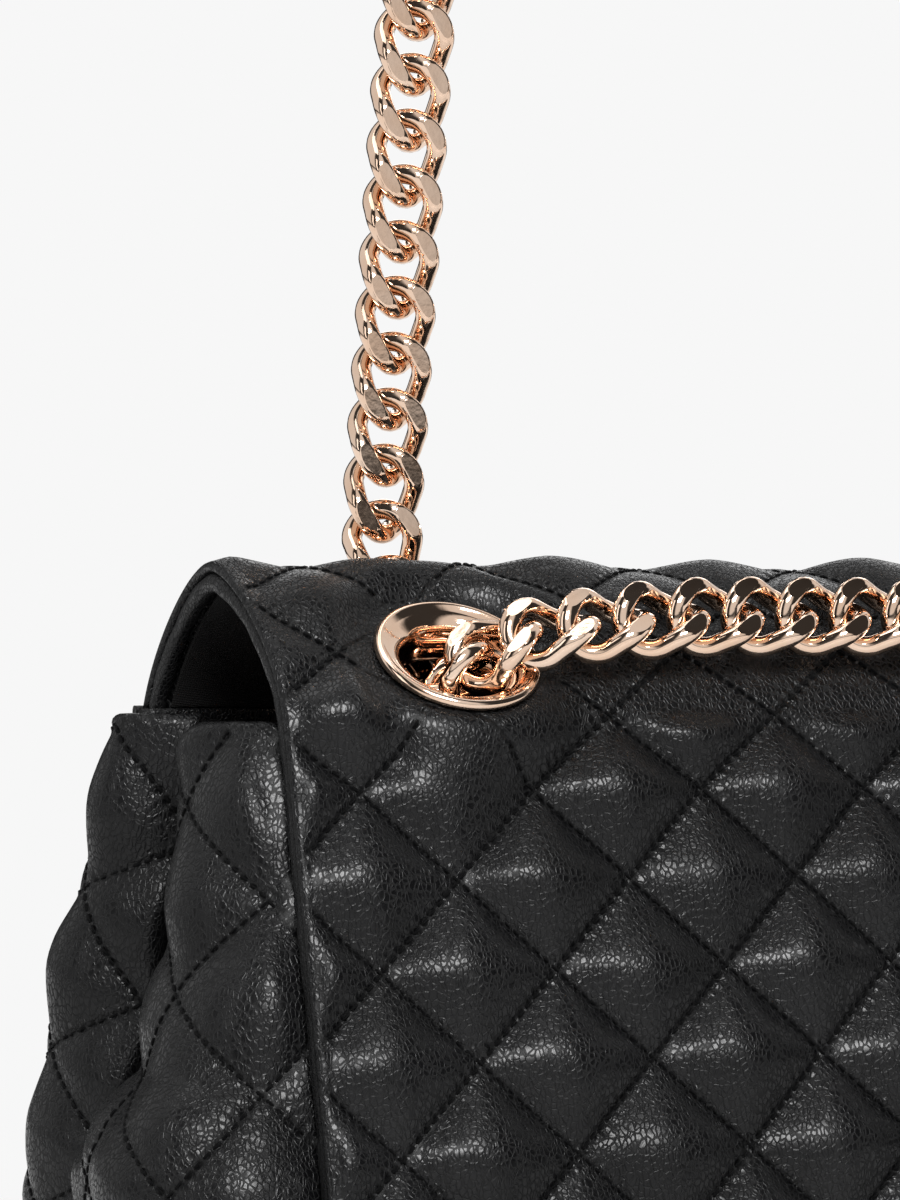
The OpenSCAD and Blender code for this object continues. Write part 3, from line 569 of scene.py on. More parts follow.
def quilted_wall(s, which):
    """One padded shell of the body with its two side wraps."""
    front = which == "front"
    mid, d = body_grid(s, which, s.shell_t / 2, SHELL_LOW, WRAP_TOP * s.body_h if front else s.body_h - GAP,
                       s.grid + 0.15, [0, 0.15, 0.55, 1.2, 2.0, 3.0])
    N = normals_of(mid) * (1 if front else -1)
    side, low, top, _ = edge_distance(mid)
    edge = np.minimum(np.minimum(side, low), top)
    x, y, z = mid[..., 0], mid[..., 1], mid[..., 2]
    if front:
        along = d * np.interp(z, [96, 128, 144], [0.958, 0.971, 1.005])
        up = z - FRONT_CROSSING + DIAMOND / 2
        under = (1 - smooth((np.abs(x) - 128) / 5)) * smooth((z - s.flap_low_z + 4) / 8) * (y < 0)
    else:
        along, up = d * 0.972, z - BACK_CROSSING
        under = 0 * x
    first, second = (np.abs(along) + up) / DIAMOND, (np.abs(along) - up) / DIAMOND
    if not front:
        # On the back's wraps the lattice turns to follow the photograph's seams.
        out, high, weight = np.abs(d) - 154.6, z - 144.4, smooth((np.abs(d) - 128) / 26)
        first = mix(first, 0.0360 * out + 0.0408 * high + 5, weight)
        second = mix(second, 0.0152 * out - 0.0308 * high + 4, weight)
    alpha, beta = np.where(d > 0, first, -second), np.where(d > 0, second, -first)
    turned = smooth((np.abs(d) - s.top_half_w + 18) / 14)
    relief = pillow(alpha, beta, s.crown * mix(1, 0.45, turned), s.sunk * mix(1, 0.8, turned))
    relief += ripples(along, up, 0.28)
    relief = mix(relief, np.minimum(relief * 0.3, 0.35) - 0.3, under) * smooth((edge - 0.4) / 3.4)
    outer, inner = two_faces(mid, N, s.shell_t / 2 * rounded(edge, s.shell_t / 2), relief)
    outer[..., 2] = np.maximum(outer[..., 2], SHELL_LOW - 0.25)
    obj = close_up(skin(f"{which}_panel", outer, inner, np.stack([alpha, beta], 2)))
    return obj, (outer, N, alpha, beta, under, edge)


def stitch_runs(outer, N, alpha, beta, covered, edge):
    """Points along every seam of the quilting, followed from row to row of the padded face."""
    values = np.concatenate([outer, N, edge[..., None], covered[..., None]], 2)
    runs = []
    for lines in (alpha, beta):
        for k in range(int(np.floor(lines.min())), int(np.ceil(lines.max())) + 1):
            run = []
            for row, value in zip(lines - k, values):
                hit = np.nonzero((row[:-1] < 0) != (row[1:] < 0))[0]
                if len(hit):
                    i = hit[0]
                    run.append(mix(value[i], value[i + 1], row[i] / (row[i] - row[i + 1])))
                else:
                    runs.append(run)
                    run = []
            runs.append(run)
    return [np.array(run) for run in runs if len(run) > 4]


def stitch_shape():
    """One stitch lying along X: a short thread, thick in the middle, that dips at both ends."""
    ring = [(-0.98, 0.13, -0.28), (-0.7, 0.27, 0.08), (0.0, 0.31, 0.14), (0.7, 0.27, 0.08),
            (0.98, 0.13, -0.28)]
    angles = np.linspace(0, 2 * math.pi, 6)[:-1]
    co = np.array([[x, r * math.cos(a), z + r * math.sin(a)] for x, r, z in ring for a in angles])
    faces = [(r * 5 + k, r * 5 + (k + 1) % 5, r * 5 + 5 + (k + 1) % 5, r * 5 + 5 + k)
             for r in range(4) for k in range(5)]
    return co, faces + [tuple(range(4, -1, -1)), tuple(range(20, 25))]


def stitches(name, data):
    """Lays a stitch at even steps along every seam."""
    shape, faces = stitch_shape()
    places = []
    for run in stitch_runs(*data):
        a = arc_length(run[:, :3])
        steps = np.arange(0.6, a[-1] - 0.6, STITCH_PITCH)
        if len(steps) < 2:
            continue
        p = np.stack([np.interp(steps, a, run[:, k]) for k in range(8)], 1)
        ahead, behind = (np.stack([np.interp(steps + g, a, run[:, k]) for k in range(3)], 1)
                         for g in (0.7, -0.7))
        t = ahead - behind
        t /= np.maximum(np.linalg.norm(t, axis=1, keepdims=True), 1e-6)
        n = p[:, 3:6] - (p[:, 3:6] * t).sum(1, keepdims=True) * t
        n /= np.maximum(np.linalg.norm(n, axis=1, keepdims=True), 1e-6)
        keep = (p[:, 6] > 2.2) & (p[:, 7] < 0.55)
        places += [(q[:3] + 0.06 * m, u, np.cross(m, u), m) for q, u, m, k in zip(p, t, n, keep) if k]
    co = np.concatenate([o + shape @ np.array([t, w, n]) for o, t, w, n in places]) * 0.001
    faces = [tuple(v + i * len(shape) for v in face) for i in range(len(places)) for face in faces]
    mesh = bpy.data.meshes.new(name)
    mesh.from_pydata(co.tolist(), [], faces)
    mesh.shade_smooth()
    obj = bpy.data.objects.new(name, mesh)
    bpy.context.scene.collection.objects.link(obj)
    return obj


def plain_sheet(name, P, thickness, sign=1):
    """A plain skin about a grid of middle points, and its size laid flat, in metres."""
    N = normals_of(P) * sign
    side, low, top, u = edge_distance(P)
    edge = np.minimum(np.minimum(side, low), top)
    outer, inner = two_faces(P, N, thickness / 2 * rounded(edge, thickness / 2), 0)
    obj = close_up(skin(name, outer, inner, np.stack([u * 0.001, low * 0.001], 2), "weave"))
    return obj, (float(np.median(u[:, -1])) * 0.001, float(np.median(low[-1])) * 0.001)


def half_area(obj):
    """Area of one face of a skin, in square metres."""
    return float(sum(p.area for p in obj.data.polygons)) / 2


def finish_cloth(obj, flat, body, node):
    """Dresses a piece of lining. Its size laid flat is worked out, but not kept or shown."""
    dress(obj, "woven lining", "cloth", body, node)
    area = half_area(obj)
    whole = flat[0] * flat[1]
    if area > whole:
        flat = (flat[0] * area / whole, flat[1])
        whole = area


def smooth_copy(node, name):
    """A copy of a rigid CAD piece, merged and smooth, with its own mesh."""
    obj = bpy.data.objects.new(name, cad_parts[node].data.copy())
    bpy.context.scene.collection.objects.link(obj)
    only(obj)
    bpy.ops.object.mode_set(mode="EDIT")
    merge_points(2e-6)
    bpy.ops.object.mode_set(mode="OBJECT")
    bpy.ops.object.shade_smooth_by_angle(angle=math.radians(32))
    return obj


def link_line(s):
    """Centre line of one curb link along X: two tilted bows, four bends and two straight sides."""
    half, tilt = math.radians(26), math.radians(-35)
    side_r = (s.link_w - s.wire_d) / 2
    bow_x = (s.link_l - s.wire_d) / 2 - s.bow_r
    w = np.linspace(-half, half, 19)
    bow = np.stack([bow_x + s.bow_r * np.cos(w), s.bow_r * np.sin(w) * math.cos(tilt),
                    s.bow_r * np.sin(w) * math.sin(tilt)], 1)
    end = bow[-1]
    way = np.array([-math.sin(half), math.cos(half) * math.cos(tilt), math.cos(half) * math.sin(tilt)])
    reach = (side_r - end[1]) / way[1]
    tip = end + reach * way
    side_way = -unit(np.array([tip[0], 0, tip[2]]))
    side_end = tip + reach * side_way
    c = side_end - end
    k = unit(np.cross(way, c))
    n = np.cross(k, way)
    r = c @ c / (2 * (c @ n))
    turn = 2 * math.atan2(np.linalg.norm(np.cross(way, c)), way @ c)
    a = np.linspace(0, turn, 13)[1:, None]
    bend = end + r * n - r * n * np.cos(a) + r * way * np.sin(a)
    side = mix(side_end, side_end * [-1, 1, -1], np.linspace(0, 1, 9)[1:-1, None])
    other = (bend * [-1, 1, -1])[::-1]
    first = np.vstack([bow, bend, side, other[:-1]])
    return np.vstack([first[:-1], (first * [-1, -1, 1])[:-1]])


def make_link(s):
    """One link: a closed curve with the wire's thickness, filed flat on both faces."""
    line = link_line(s)
    select_nothing()
    bpy.ops.curve.primitive_bezier_circle_add(radius=0.01)
    wire = bpy.context.object
    wire.name = "curb_link"
    curve = wire.data
    curve.splines.clear()
    spline = curve.splines.new("POLY")
    spline.points.add(len(line) - 1)
    spline.points.foreach_set("co", np.column_stack([line * 0.001, np.ones(len(line))]).ravel())
    spline.use_cyclic_u = True
    curve.bevel_depth = s.wire_d / 2000
    curve.bevel_resolution = 8
    curve.twist_mode = "MINIMUM"
    bpy.ops.object.convert(target="MESH")
    link = bpy.context.object
    bpy.ops.object.mode_set(mode="EDIT")
    merge_points(1e-6)
    bpy.ops.mesh.normals_make_consistent(inside=False)
    for up in (1, -1):
        bpy.ops.mesh.select_all(action="SELECT")
        bpy.ops.mesh.bisect(plane_co=(0, 0, up * s.link_t / 2000), plane_no=(0, 0, up), use_fill=True,
                            clear_outer=True, threshold=1e-7)
    bpy.ops.object.mode_set(mode="OBJECT")
    mesh = link.data
    filed = [abs(p.normal.z) > 0.999 and len(p.vertices) > 6 for p in mesh.polygons]
    if sum(filed) != 4:
        raise RuntimeError(f"the link has {sum(filed)} filed faces, not 4")
    select_faces(mesh, filed)
    bpy.ops.mesh.inset(thickness=0.00022, depth=0)
    bpy.ops.object.mode_set(mode="OBJECT")
    co = points_of(mesh)
    inner = {v for p in mesh.polygons if p.select for v in p.vertices}
    near = np.abs(np.abs(co[:, 2]) - s.link_t / 2000) < 1e-6
    rim = [i for i in np.nonzero(near)[0] if i not in inner]
    co[rim, 2] -= np.sign(co[rim, 2]) * 0.00009
    move_points(mesh, co)
    # The soldered joint in one side, for the metal's tone.
    closing = np.where(co[:, 1] > 0.003, np.clip(1 - np.abs(co[:, 0] + 0.0022) / 0.0006, 0, 1), 0)
    mesh.attributes.new("closing", "FLOAT", "POINT").data.foreach_set("value", closing)
    only(link)
    bpy.ops.object.shade_smooth_by_angle(angle=math.radians(38))
    for p in mesh.polygons:
        if len(p.vertices) > 6:
            p.use_smooth = False
    return link


def link_place(a, b, width):
    t = unit(b - a)
    y = unit(width - (width @ t) * t)
    m = np.eye(4)
    m[:3, 0], m[:3, 1], m[:3, 2], m[:3, 3] = t, y, np.cross(t, y), (a + b) / 2 * 0.001
    return Matrix(m.tolist())


def run_chain(name, link, route, widths):
    """Copies the link along a route, each copy with its own mesh, and joins them into one stretch."""
    parts = []
    for a, b, w in zip(route[:-1], route[1:], widths):
        part = bpy.data.objects.new(name, link.data.copy())
        bpy.context.scene.collection.objects.link(part)
        part.data.transform(link_place(np.asarray(a), np.asarray(b), np.asarray(w)))
        parts.append(part)
    return join(name, *parts)


def chain_routes(s):
    """Route and link widths of each stretch of the strap."""
    c, d, p = math.cos(EYELET_RISE), math.sin(EYELET_RISE), s.pitch
    along = np.array([1.0, 0, 0])
    front_out, front_up = np.array([0, -c, d]), np.array([0, d, c])
    rear_out, rear_side = np.array([0, c, d]), np.array([0, -d, c])
    left = np.array([-1, 1, 1])
    enter, lift, lean = math.radians(45), math.radians(38), math.radians(4.3)

    def turned(route):
        return [q * left for q in route[::-1]]

    def near(x):
        return float(smooth((80 - abs(x)) / 38))

    # Out of the front left eyelet, along the flap and into the right one.
    r = 2 * p / enter
    passing = FRONT_EYELET * left + 0.19 * p * along - 0.095 * p * front_up
    end = passing + r * math.sin(enter) * along + r * (1 - math.cos(enter)) * front_out
    bend = [end - r * math.sin(enter * k / 2) * along - r * (1 - math.cos(enter * k / 2)) * front_out
            for k in (2, 1, 0)]
    count = round(-2 * end[0] / p)
    middle = [mix(bend[2], bend[2] * left, k / count) for k in range(1, count)]
    middle = [q + near(q[0]) * (1.6 * front_up + 1.3 * front_out) for q in middle]
    front = bend + middle + turned(bend)
    roll = [0.30 * near((a[0] + b[0]) / 2) for a, b in zip(front[:-1], front[1:])]
    # Under the flap from the front eyelet to the rear one, then upright.
    rear = REAR_EYELET * left
    curve = [passing, passing - 0.99 * p * (math.cos(enter) * along + math.sin(enter) * front_out),
             rear - 3.32 * p * rear_out, rear]
    fine = bezier(curve, np.linspace(0, 1, 61))
    share = arc_length(fine) / arc_length(fine)[-1]
    inner = [np.array([np.interp(k / 5, share, fine[:, i]) for i in range(3)]) for k in range(6)]
    r = 2 * p / lift
    inner += [rear + r * math.sin(lift * k / 2) * rear_out + r * (1 - math.cos(lift * k / 2)) * rear_side
              for k in (1, 2)]
    way, other = ([mix(front_up, g * along, ((k + 0.5) / 5) ** 0.475) for k in range(5)] + [along, along]
                  for g in (1, -1))
    # The two risers and the crown over the shoulder.
    up = np.array([math.sin(lean), 0, math.cos(lean)])
    riser = [inner[-1] + k * p * up for k in range(31)]
    neck = riser[-1]
    r = -neck[0] / math.cos(lean)
    turn = math.pi - 2 * lean
    links = round(r * turn / p)
    middle = np.array([0, neck[1], neck[2] - r * math.sin(lean)])
    crown = [middle + r * np.array([math.cos(a), 0, math.sin(a)])
             for a in math.pi - lean - turn * np.arange(links + 1) / links]
    out = {"front_chain": (front, [math.cos(t) * front_up + math.sin(t) * front_out for t in roll]),
           "left_inner_chain": (inner, way),
           "right_inner_chain": (turned(inner), [w * -left for w in other[::-1]]),
           "strap_crown": (crown, [np.cross([0, 1, 0], b - a) for a, b in zip(crown[:-1], crown[1:])])}
    for k, part in enumerate(("lower", "middle", "upper")):
        piece = riser[10 * k:10 * k + 11]
        out[f"left_strap_{part}"] = (piece, [along] * 10)
        out[f"right_strap_{part}"] = (turned(piece), [along] * 10)
    return out


class Nodes:
    """Short words for placing and joining shader nodes in one tree."""

    def __init__(self, tree):
        self.tree = tree

    def add(self, kind, *inputs, **values):
        """A new node. Inputs go to its first sockets in order, values to its settings and sockets by name."""
        node = self.tree.nodes.new("ShaderNode" + kind)
        for key, value in values.items():
            if key in node.bl_rna.properties:
                setattr(node, key, value)
            else:
                self.give(node.inputs[key.replace("_", " ")], value)
        for socket, value in zip(node.inputs, inputs):
            self.give(socket, value)
        return node

    def give(self, socket, value):
        if isinstance(value, bpy.types.NodeSocket):
            self.tree.links.new(value, socket)
        else:
            socket.default_value = value

    def math(self, operation, a, b=0.0, clamp=False):
        return self.add("Math", a, b, operation=operation, use_clamp=clamp).outputs[0]

    def times(self, a, b):
        return self.math("MULTIPLY", a, b)

    def plus(self, a, b):
        return self.math("ADD", a, b)

    def minus(self, a, b):
        return self.math("SUBTRACT", a, b)

    def ramp(self, value, low, high, out_low=0.0, out_high=1.0, smooth_step=False):
        kind = "SMOOTHSTEP" if smooth_step else "LINEAR"
        node = self.add("MapRange", value, low, high, out_low, out_high, interpolation_type=kind, clamp=True)
        return node.outputs[0]

    def blend(self, amount, a, b):
        node = self.add("Mix", amount, data_type="RGBA")
        self.give(node.inputs[6], a)
        self.give(node.inputs[7], b)
        return node.outputs[2]

    def object_place(self):
        return self.add("TexCoord").outputs["Object"]

    def place(self, size, stretch=(1, 1, 1)):
        """Object coordinates in units of a size in metres."""
        mapping = self.add("Mapping", self.object_place())
        mapping.inputs["Scale"].default_value = tuple(k / size for k in stretch)
        return mapping.outputs[0]

    def map_place(self, name):
        """The two coordinates of a UV map."""
        return self.add("SeparateXYZ", self.add("UVMap", uv_map=name).outputs[0]).outputs[:2]


def group(name, inputs, outputs):
    """A new node group with float inputs (name, value) and float outputs."""
    tree = bpy.data.node_groups.new(name, "ShaderNodeTree")
    for label, value in inputs:
        socket = tree.interface.new_socket(name=label, in_out="INPUT", socket_type="NodeSocketFloat")
        socket.default_value = value
    for label in outputs:
        tree.interface.new_socket(name=label, in_out="OUTPUT", socket_type="NodeSocketFloat")
    return Nodes(tree), tree.nodes.new("NodeGroupInput"), tree.nodes.new("NodeGroupOutput")


def use(n, name, **values):
    node = n.add("Group")
    node.node_tree = bpy.data.node_groups[name]
    for key, value in values.items():
        n.give(node.inputs[key.replace("_", " ")], value)
    return node.outputs


def leather_grain_group():
    """Pebbled grain with folds between the pebbles. Cell is the pebble's size in millimetres. The second output
    marks the grooves between the pebbles, where the leather's colour is darkened as painted shade.
    """
    n, given, out = group("leather grain", [("Cell", 0.75), ("Folds", 0.5)], ["Height", "Pores"])
    size = n.times(given.outputs["Cell"], 0.001)
    cell = n.add("CombineXYZ", *(n.times(size, k) for k in (1.0, 1.0, 1.55))).outputs[0]
    scaled = n.add("VectorMath", n.object_place(), cell, operation="DIVIDE").outputs[0]
    warp = n.add("TexNoise", scaled, Scale=0.35, Detail=2.0).outputs["Color"]
    pushed = n.add("VectorMath", warp, (1.6, 1.6, 1.6), scaled, operation="MULTIPLY_ADD").outputs[0]
    cells = n.add("TexVoronoi", pushed, feature="DISTANCE_TO_EDGE", Scale=1.0, Randomness=0.95)
    dome = n.math("POWER", n.ramp(cells.outputs["Distance"], 0.0, 0.17), 0.8)
    folds = n.add("TexNoise", pushed, Scale=0.16, Detail=4.0, Roughness=0.6)
    crease = n.ramp(n.math("ABSOLUTE", n.minus(folds.outputs["Fac"], 0.5)), 0.0, 0.09)
    n.give(out.inputs["Height"], n.plus(dome, n.times(crease, given.outputs["Folds"])))
    # The grooves between the pebbles: this mask darkens the leather's colour there as painted shade, and raises
    # its roughness.
    n.give(out.inputs["Pores"], n.ramp(dome, 0.3, 0.9, 1.0, 0.0))


def quilting_group():
    """Where the quilting's seams run, read from the quilt map: closeness to a seam, and puckers along it."""
    n, given, out = group("quilting seams", [("Width", 1.0)], ["Seam", "Pucker"])
    places = n.map_place("quilt")
    gaps = [n.times(n.math("ABSOLUTE", n.minus(k, n.math("ROUND", k))), SEAM_STEP) for k in places]
    near = n.math("DIVIDE", n.math("MINIMUM", *gaps), given.outputs["Width"])
    n.give(out.inputs["Seam"], n.ramp(near, 0.0, 1.0, 1.0, 0.0, True))
    waves = [n.times(n.math("SINE", n.times(k, SEAM_STEP * 2 * math.pi / STITCH_PITCH)),
                     n.ramp(gap, 0.1, 2.6, 1.0, 0.0, True)) for gap, k in zip(gaps, places[::-1])]
    rough = n.add("TexNoise", n.place(0.0045), Scale=1.0, Detail=2.0)
    n.give(out.inputs["Pucker"], n.times(n.plus(*waves), n.ramp(rough.outputs["Fac"], 0.3, 0.7, 0.1, 1.0)))


def handling_group():
    """Slow patches of handling: where the surface is rubbed a little smoother or duller."""
    n, given, out = group("handling", [("Patch", 20.0)], ["Rubbed", "Fine"])
    scaled = n.add("VectorMath", n.object_place(), operation="SCALE")
    n.give(scaled.inputs["Scale"], n.math("DIVIDE", 1000.0, given.outputs["Patch"]))
    slow = n.add("TexNoise", scaled.outputs[0], Scale=1.0, Detail=3.0)
    quick = n.add("TexNoise", scaled.outputs[0], Scale=14.0, Detail=2.0)
    n.give(out.inputs["Rubbed"], n.ramp(slow.outputs["Fac"], 0.35, 0.68))
    n.give(out.inputs["Fine"], n.ramp(quick.outputs["Fac"], 0.3, 0.7))


def weave_group():
    """Plain weave from the weave map, whose units are metres."""
    n, given, out = group("plain weave", [("Threads", 2.2)], ["Height", "Between"])
    turn = n.times(given.outputs["Threads"], 1000 * math.pi)
    u, v = (n.math("SINE", n.times(k, turn)) for k in n.map_place("weave"))
    lines = n.times(n.math("ABSOLUTE", u), n.math("ABSOLUTE", v))
    n.give(out.inputs["Height"], n.plus(n.times(n.times(u, v), 0.3), lines))
    # The gaps between the threads, where the cloth's colour is darkened as painted shade.
    n.give(out.inputs["Between"], n.ramp(lines, 0.05, 0.5, 1.0, 0.0))


def tone_of(tint, *share):
    """A colour made darker or lighter, all over or by channel."""
    return (*(min(1, c * k) for c, k in zip(tint, share * 3 if len(share) == 1 else share)), 1)


def material(name, **settings):
    """A new material with its shader, ready to be joined up. Constants sit on the shader's own sockets."""
    m = bpy.data.materials.new(name)
    m.use_nodes = True
    shader = m.node_tree.nodes["Principled BSDF"]
    for key, value in settings.items():
        shader.inputs[key.replace("_", " ")].default_value = value
    return m, Nodes(m.node_tree), shader


def join_up(n, shader, tone, rough, *layers):
    """Colour, roughness and bumps, one after the other, each bump a height and its size in metres."""
    n.give(shader.inputs["Base Color"], tone)
    n.give(shader.inputs["Roughness"], rough)
    for height, size in layers:
        bump = n.add("Bump", Strength=1.0, Distance=size, Height=height)
        if shader.inputs["Normal"].is_linked:
            n.give(bump.inputs["Normal"], shader.inputs["Normal"].links[0].from_socket)
        n.give(shader.inputs["Normal"], bump.outputs[0])


def leather_material(name, quilted, tint):
    m, n, shader = material(name, Specular_IOR_Level=0.30, Coat_Roughness=0.2)
    grain = use(n, "leather grain", Cell=0.92 if quilted else 0.75, Folds=0.7)
    worn = use(n, "handling", Patch=23.0)
    # The colour of the painted shade in the grain's grooves and along the quilting's seams.
    dark = tone_of(tint, 0.55)
    tone = n.blend(worn["Rubbed"], tone_of(tint, 1), tone_of(tint, 1.7))
    # Painted shade: the colour is darkened in the grooves between the grain's pebbles.
    tone = n.blend(n.times(grain["Pores"], 0.6), tone, dark)
    rough = n.plus(n.ramp(worn["Rubbed"], 0, 1, 0.29, 0.24), n.times(grain["Pores"], 0.4))
    layers = [(grain["Height"], 0.00008)]
    if quilted:
        seam = use(n, "quilting seams", Width=1.0)
        # Painted shade: the colour is darkened along the quilting's seams, where the leather dips into the
        # crease.
        tone = n.blend(n.times(seam["Seam"], 0.5), tone, dark)
        rough = n.plus(rough, n.times(seam["Seam"], 0.12))
        layers = [(n.minus(n.times(seam["Pucker"], 0.9), seam["Seam"]), 0.00030)] + layers
    n.give(shader.inputs["Coat Weight"], n.ramp(worn["Rubbed"], 0, 1, 0.0, 0.08))
    join_up(n, shader, tone, n.math("ADD", rough, 0.0, clamp=True), *layers)


def metal_material(name, tint):
    m, n, shader = material(name, Metallic=1.0)
    worn = use(n, "handling", Patch=9.0)
    closing = n.add("Attribute", attribute_name="closing").outputs["Fac"]
    tone = n.blend(worn["Rubbed"], tone_of(tint, 1), tone_of(tint, 0.93, 0.86, 0.80))
    tone = n.blend(n.times(closing, 0.35), tone, (0.30, 0.17, 0.10, 1))
    wave = n.add("TexNoise", n.place(0.0016), Scale=1.0, Detail=2.0)
    join_up(n, shader, tone, n.ramp(worn["Fine"], 0, 1, 0.05, 0.10),
            (n.minus(wave.outputs["Fac"], n.times(closing, 1.5)), 0.000012))


def cloth_material(name, tint):
    m, n, shader = material(name, Specular_IOR_Level=0.12, Sheen_Weight=0.04)
    weave = use(n, "plain weave", Threads=2.2)
    worn = use(n, "handling", Patch=30.0)
    tone = n.blend(worn["Rubbed"], tone_of(tint, 1), tone_of(tint, 1.5))
    # Painted shade: the cloth's colour is darkened in the gaps between the threads.
    tone = n.blend(n.times(weave["Between"], 0.7), tone, tone_of(tint, 0.35))
    join_up(n, shader, tone, n.ramp(weave["Height"], 0, 1, 0.9, 0.7), (weave["Height"], 0.00012))


def thread_material(name, tint):
    m, n, shader = material(name, Specular_IOR_Level=0.08, Sheen_Weight=0.02)
    twist = n.add("TexWave", n.place(0.0004, (1, 1, 0.6)), Scale=1.0, Distortion=1.5).outputs["Fac"]
    # Painted highlight and painted shade: the thread is lighter on the raised turns of its twist and darker in
    # the grooves between them, following its bump.
    tone = n.blend(twist, tone_of(tint, 0.6), tone_of(tint, 2.2))
    join_up(n, shader, tone, n.ramp(twist, 0, 1, 0.6, 0.42), (twist, 0.00005))


def board_material(name, tint):
    m, n, shader = material(name, Specular_IOR_Level=0.2)
    pulp = n.add("TexNoise", n.place(0.004), Scale=1.0, Detail=6.0, Roughness=0.7).outputs["Fac"]
    flecks = n.add("TexVoronoi", n.place(0.0015, (1, 0.3, 1)), Scale=1.0)
    tone = n.blend(n.ramp(pulp, 0.3, 0.7), tone_of(tint, 0.75), tone_of(tint, 1.25))
    tone = n.blend(n.ramp(flecks.outputs["Distance"], 0.05, 0.2, 0.5, 0.0), tone, tone_of(tint, 0.5))
    join_up(n, shader, tone, n.ramp(pulp, 0.2, 0.8, 0.75, 0.95), (pulp, 0.0002))


def finish_of(name):
    """A finish by name. The node groups and materials are built the first time that one is asked for."""
    if "leather grain" not in bpy.data.node_groups:
        for build in (leather_grain_group, quilting_group, handling_group, weave_group):
            build()
        tints = bpy.context.scene.bag_finishes
        leather_material("quilted leather", True, tints.leather)
        leather_material("plain leather", False, tints.leather)
        metal_material("polished rose gold", tints.metal)
        cloth_material("woven lining", tints.cloth)
        thread_material("sewing thread", tints.thread)
        board_material("fibre board", tints.board)
    return bpy.data.materials[name]


def dress(obj, finish, slot, body, *nodes):
    """Gives a piece its finish and the body it rides on, and hides the nodes it stands for. The slot is not
    used.
    """
    obj.data.materials.clear()
    obj.data.materials.append(finish_of(finish))
    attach(obj, body)
    if nodes:
        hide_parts(*nodes)
    return obj


def outline(s, z, inset):
    """Closed outline of the whole body at a height, starting at the middle of the front."""
    front = plan_half(s, half_w(s, z) - s.side_step, float(front_y(s, z)), s.fold_y, inset, 0, False)
    back = plan_half(s, half_w(s, z), float(back_y(s, z)), s.fold_y, inset,
                     s.back_crown * math.sin(math.pi * z / s.body_h), False)
    right = np.vstack([front, back[::-1]])
    ring = np.vstack([right, right[-2:0:-1] * [-1, 1]])
    a = arc_length(np.vstack([ring, ring[:1]]))
    at = np.linspace(0, a[-1], 241)
    return np.stack([np.interp(at, a, np.append(ring[:, k], ring[0, k])) for k in (0, 1)], 1)


def plate(name, s, low, high, inset, soft):
    """A flat filled piece with a softened rim, in the outline of the body."""
    rows = [np.column_stack([outline(s, max(mix(low, high, 0.5), 1), inset + soft - grow), np.full(241, z)])
            for z, grow in [(low, 0), *((mix(low, high, t), soft * math.sqrt(max(0, 1 - (2 * t - 1) ** 2)))
                                        for t in (0, 0.1, 0.3, 0.5, 0.7, 0.9, 1)), (high, 0)]]
    below, above = ([np.column_stack([ring[:, :2] * k + [0, (1 - k) * -8], ring[:, 2]]) for k in (0, 0.5)]
                    for ring in (rows[0], rows[-1]))
    P = np.array(below + rows[1:-1] + above[::-1])
    return close_up(net(name, P, P[..., :2] * 0.001, "weave"), 40)


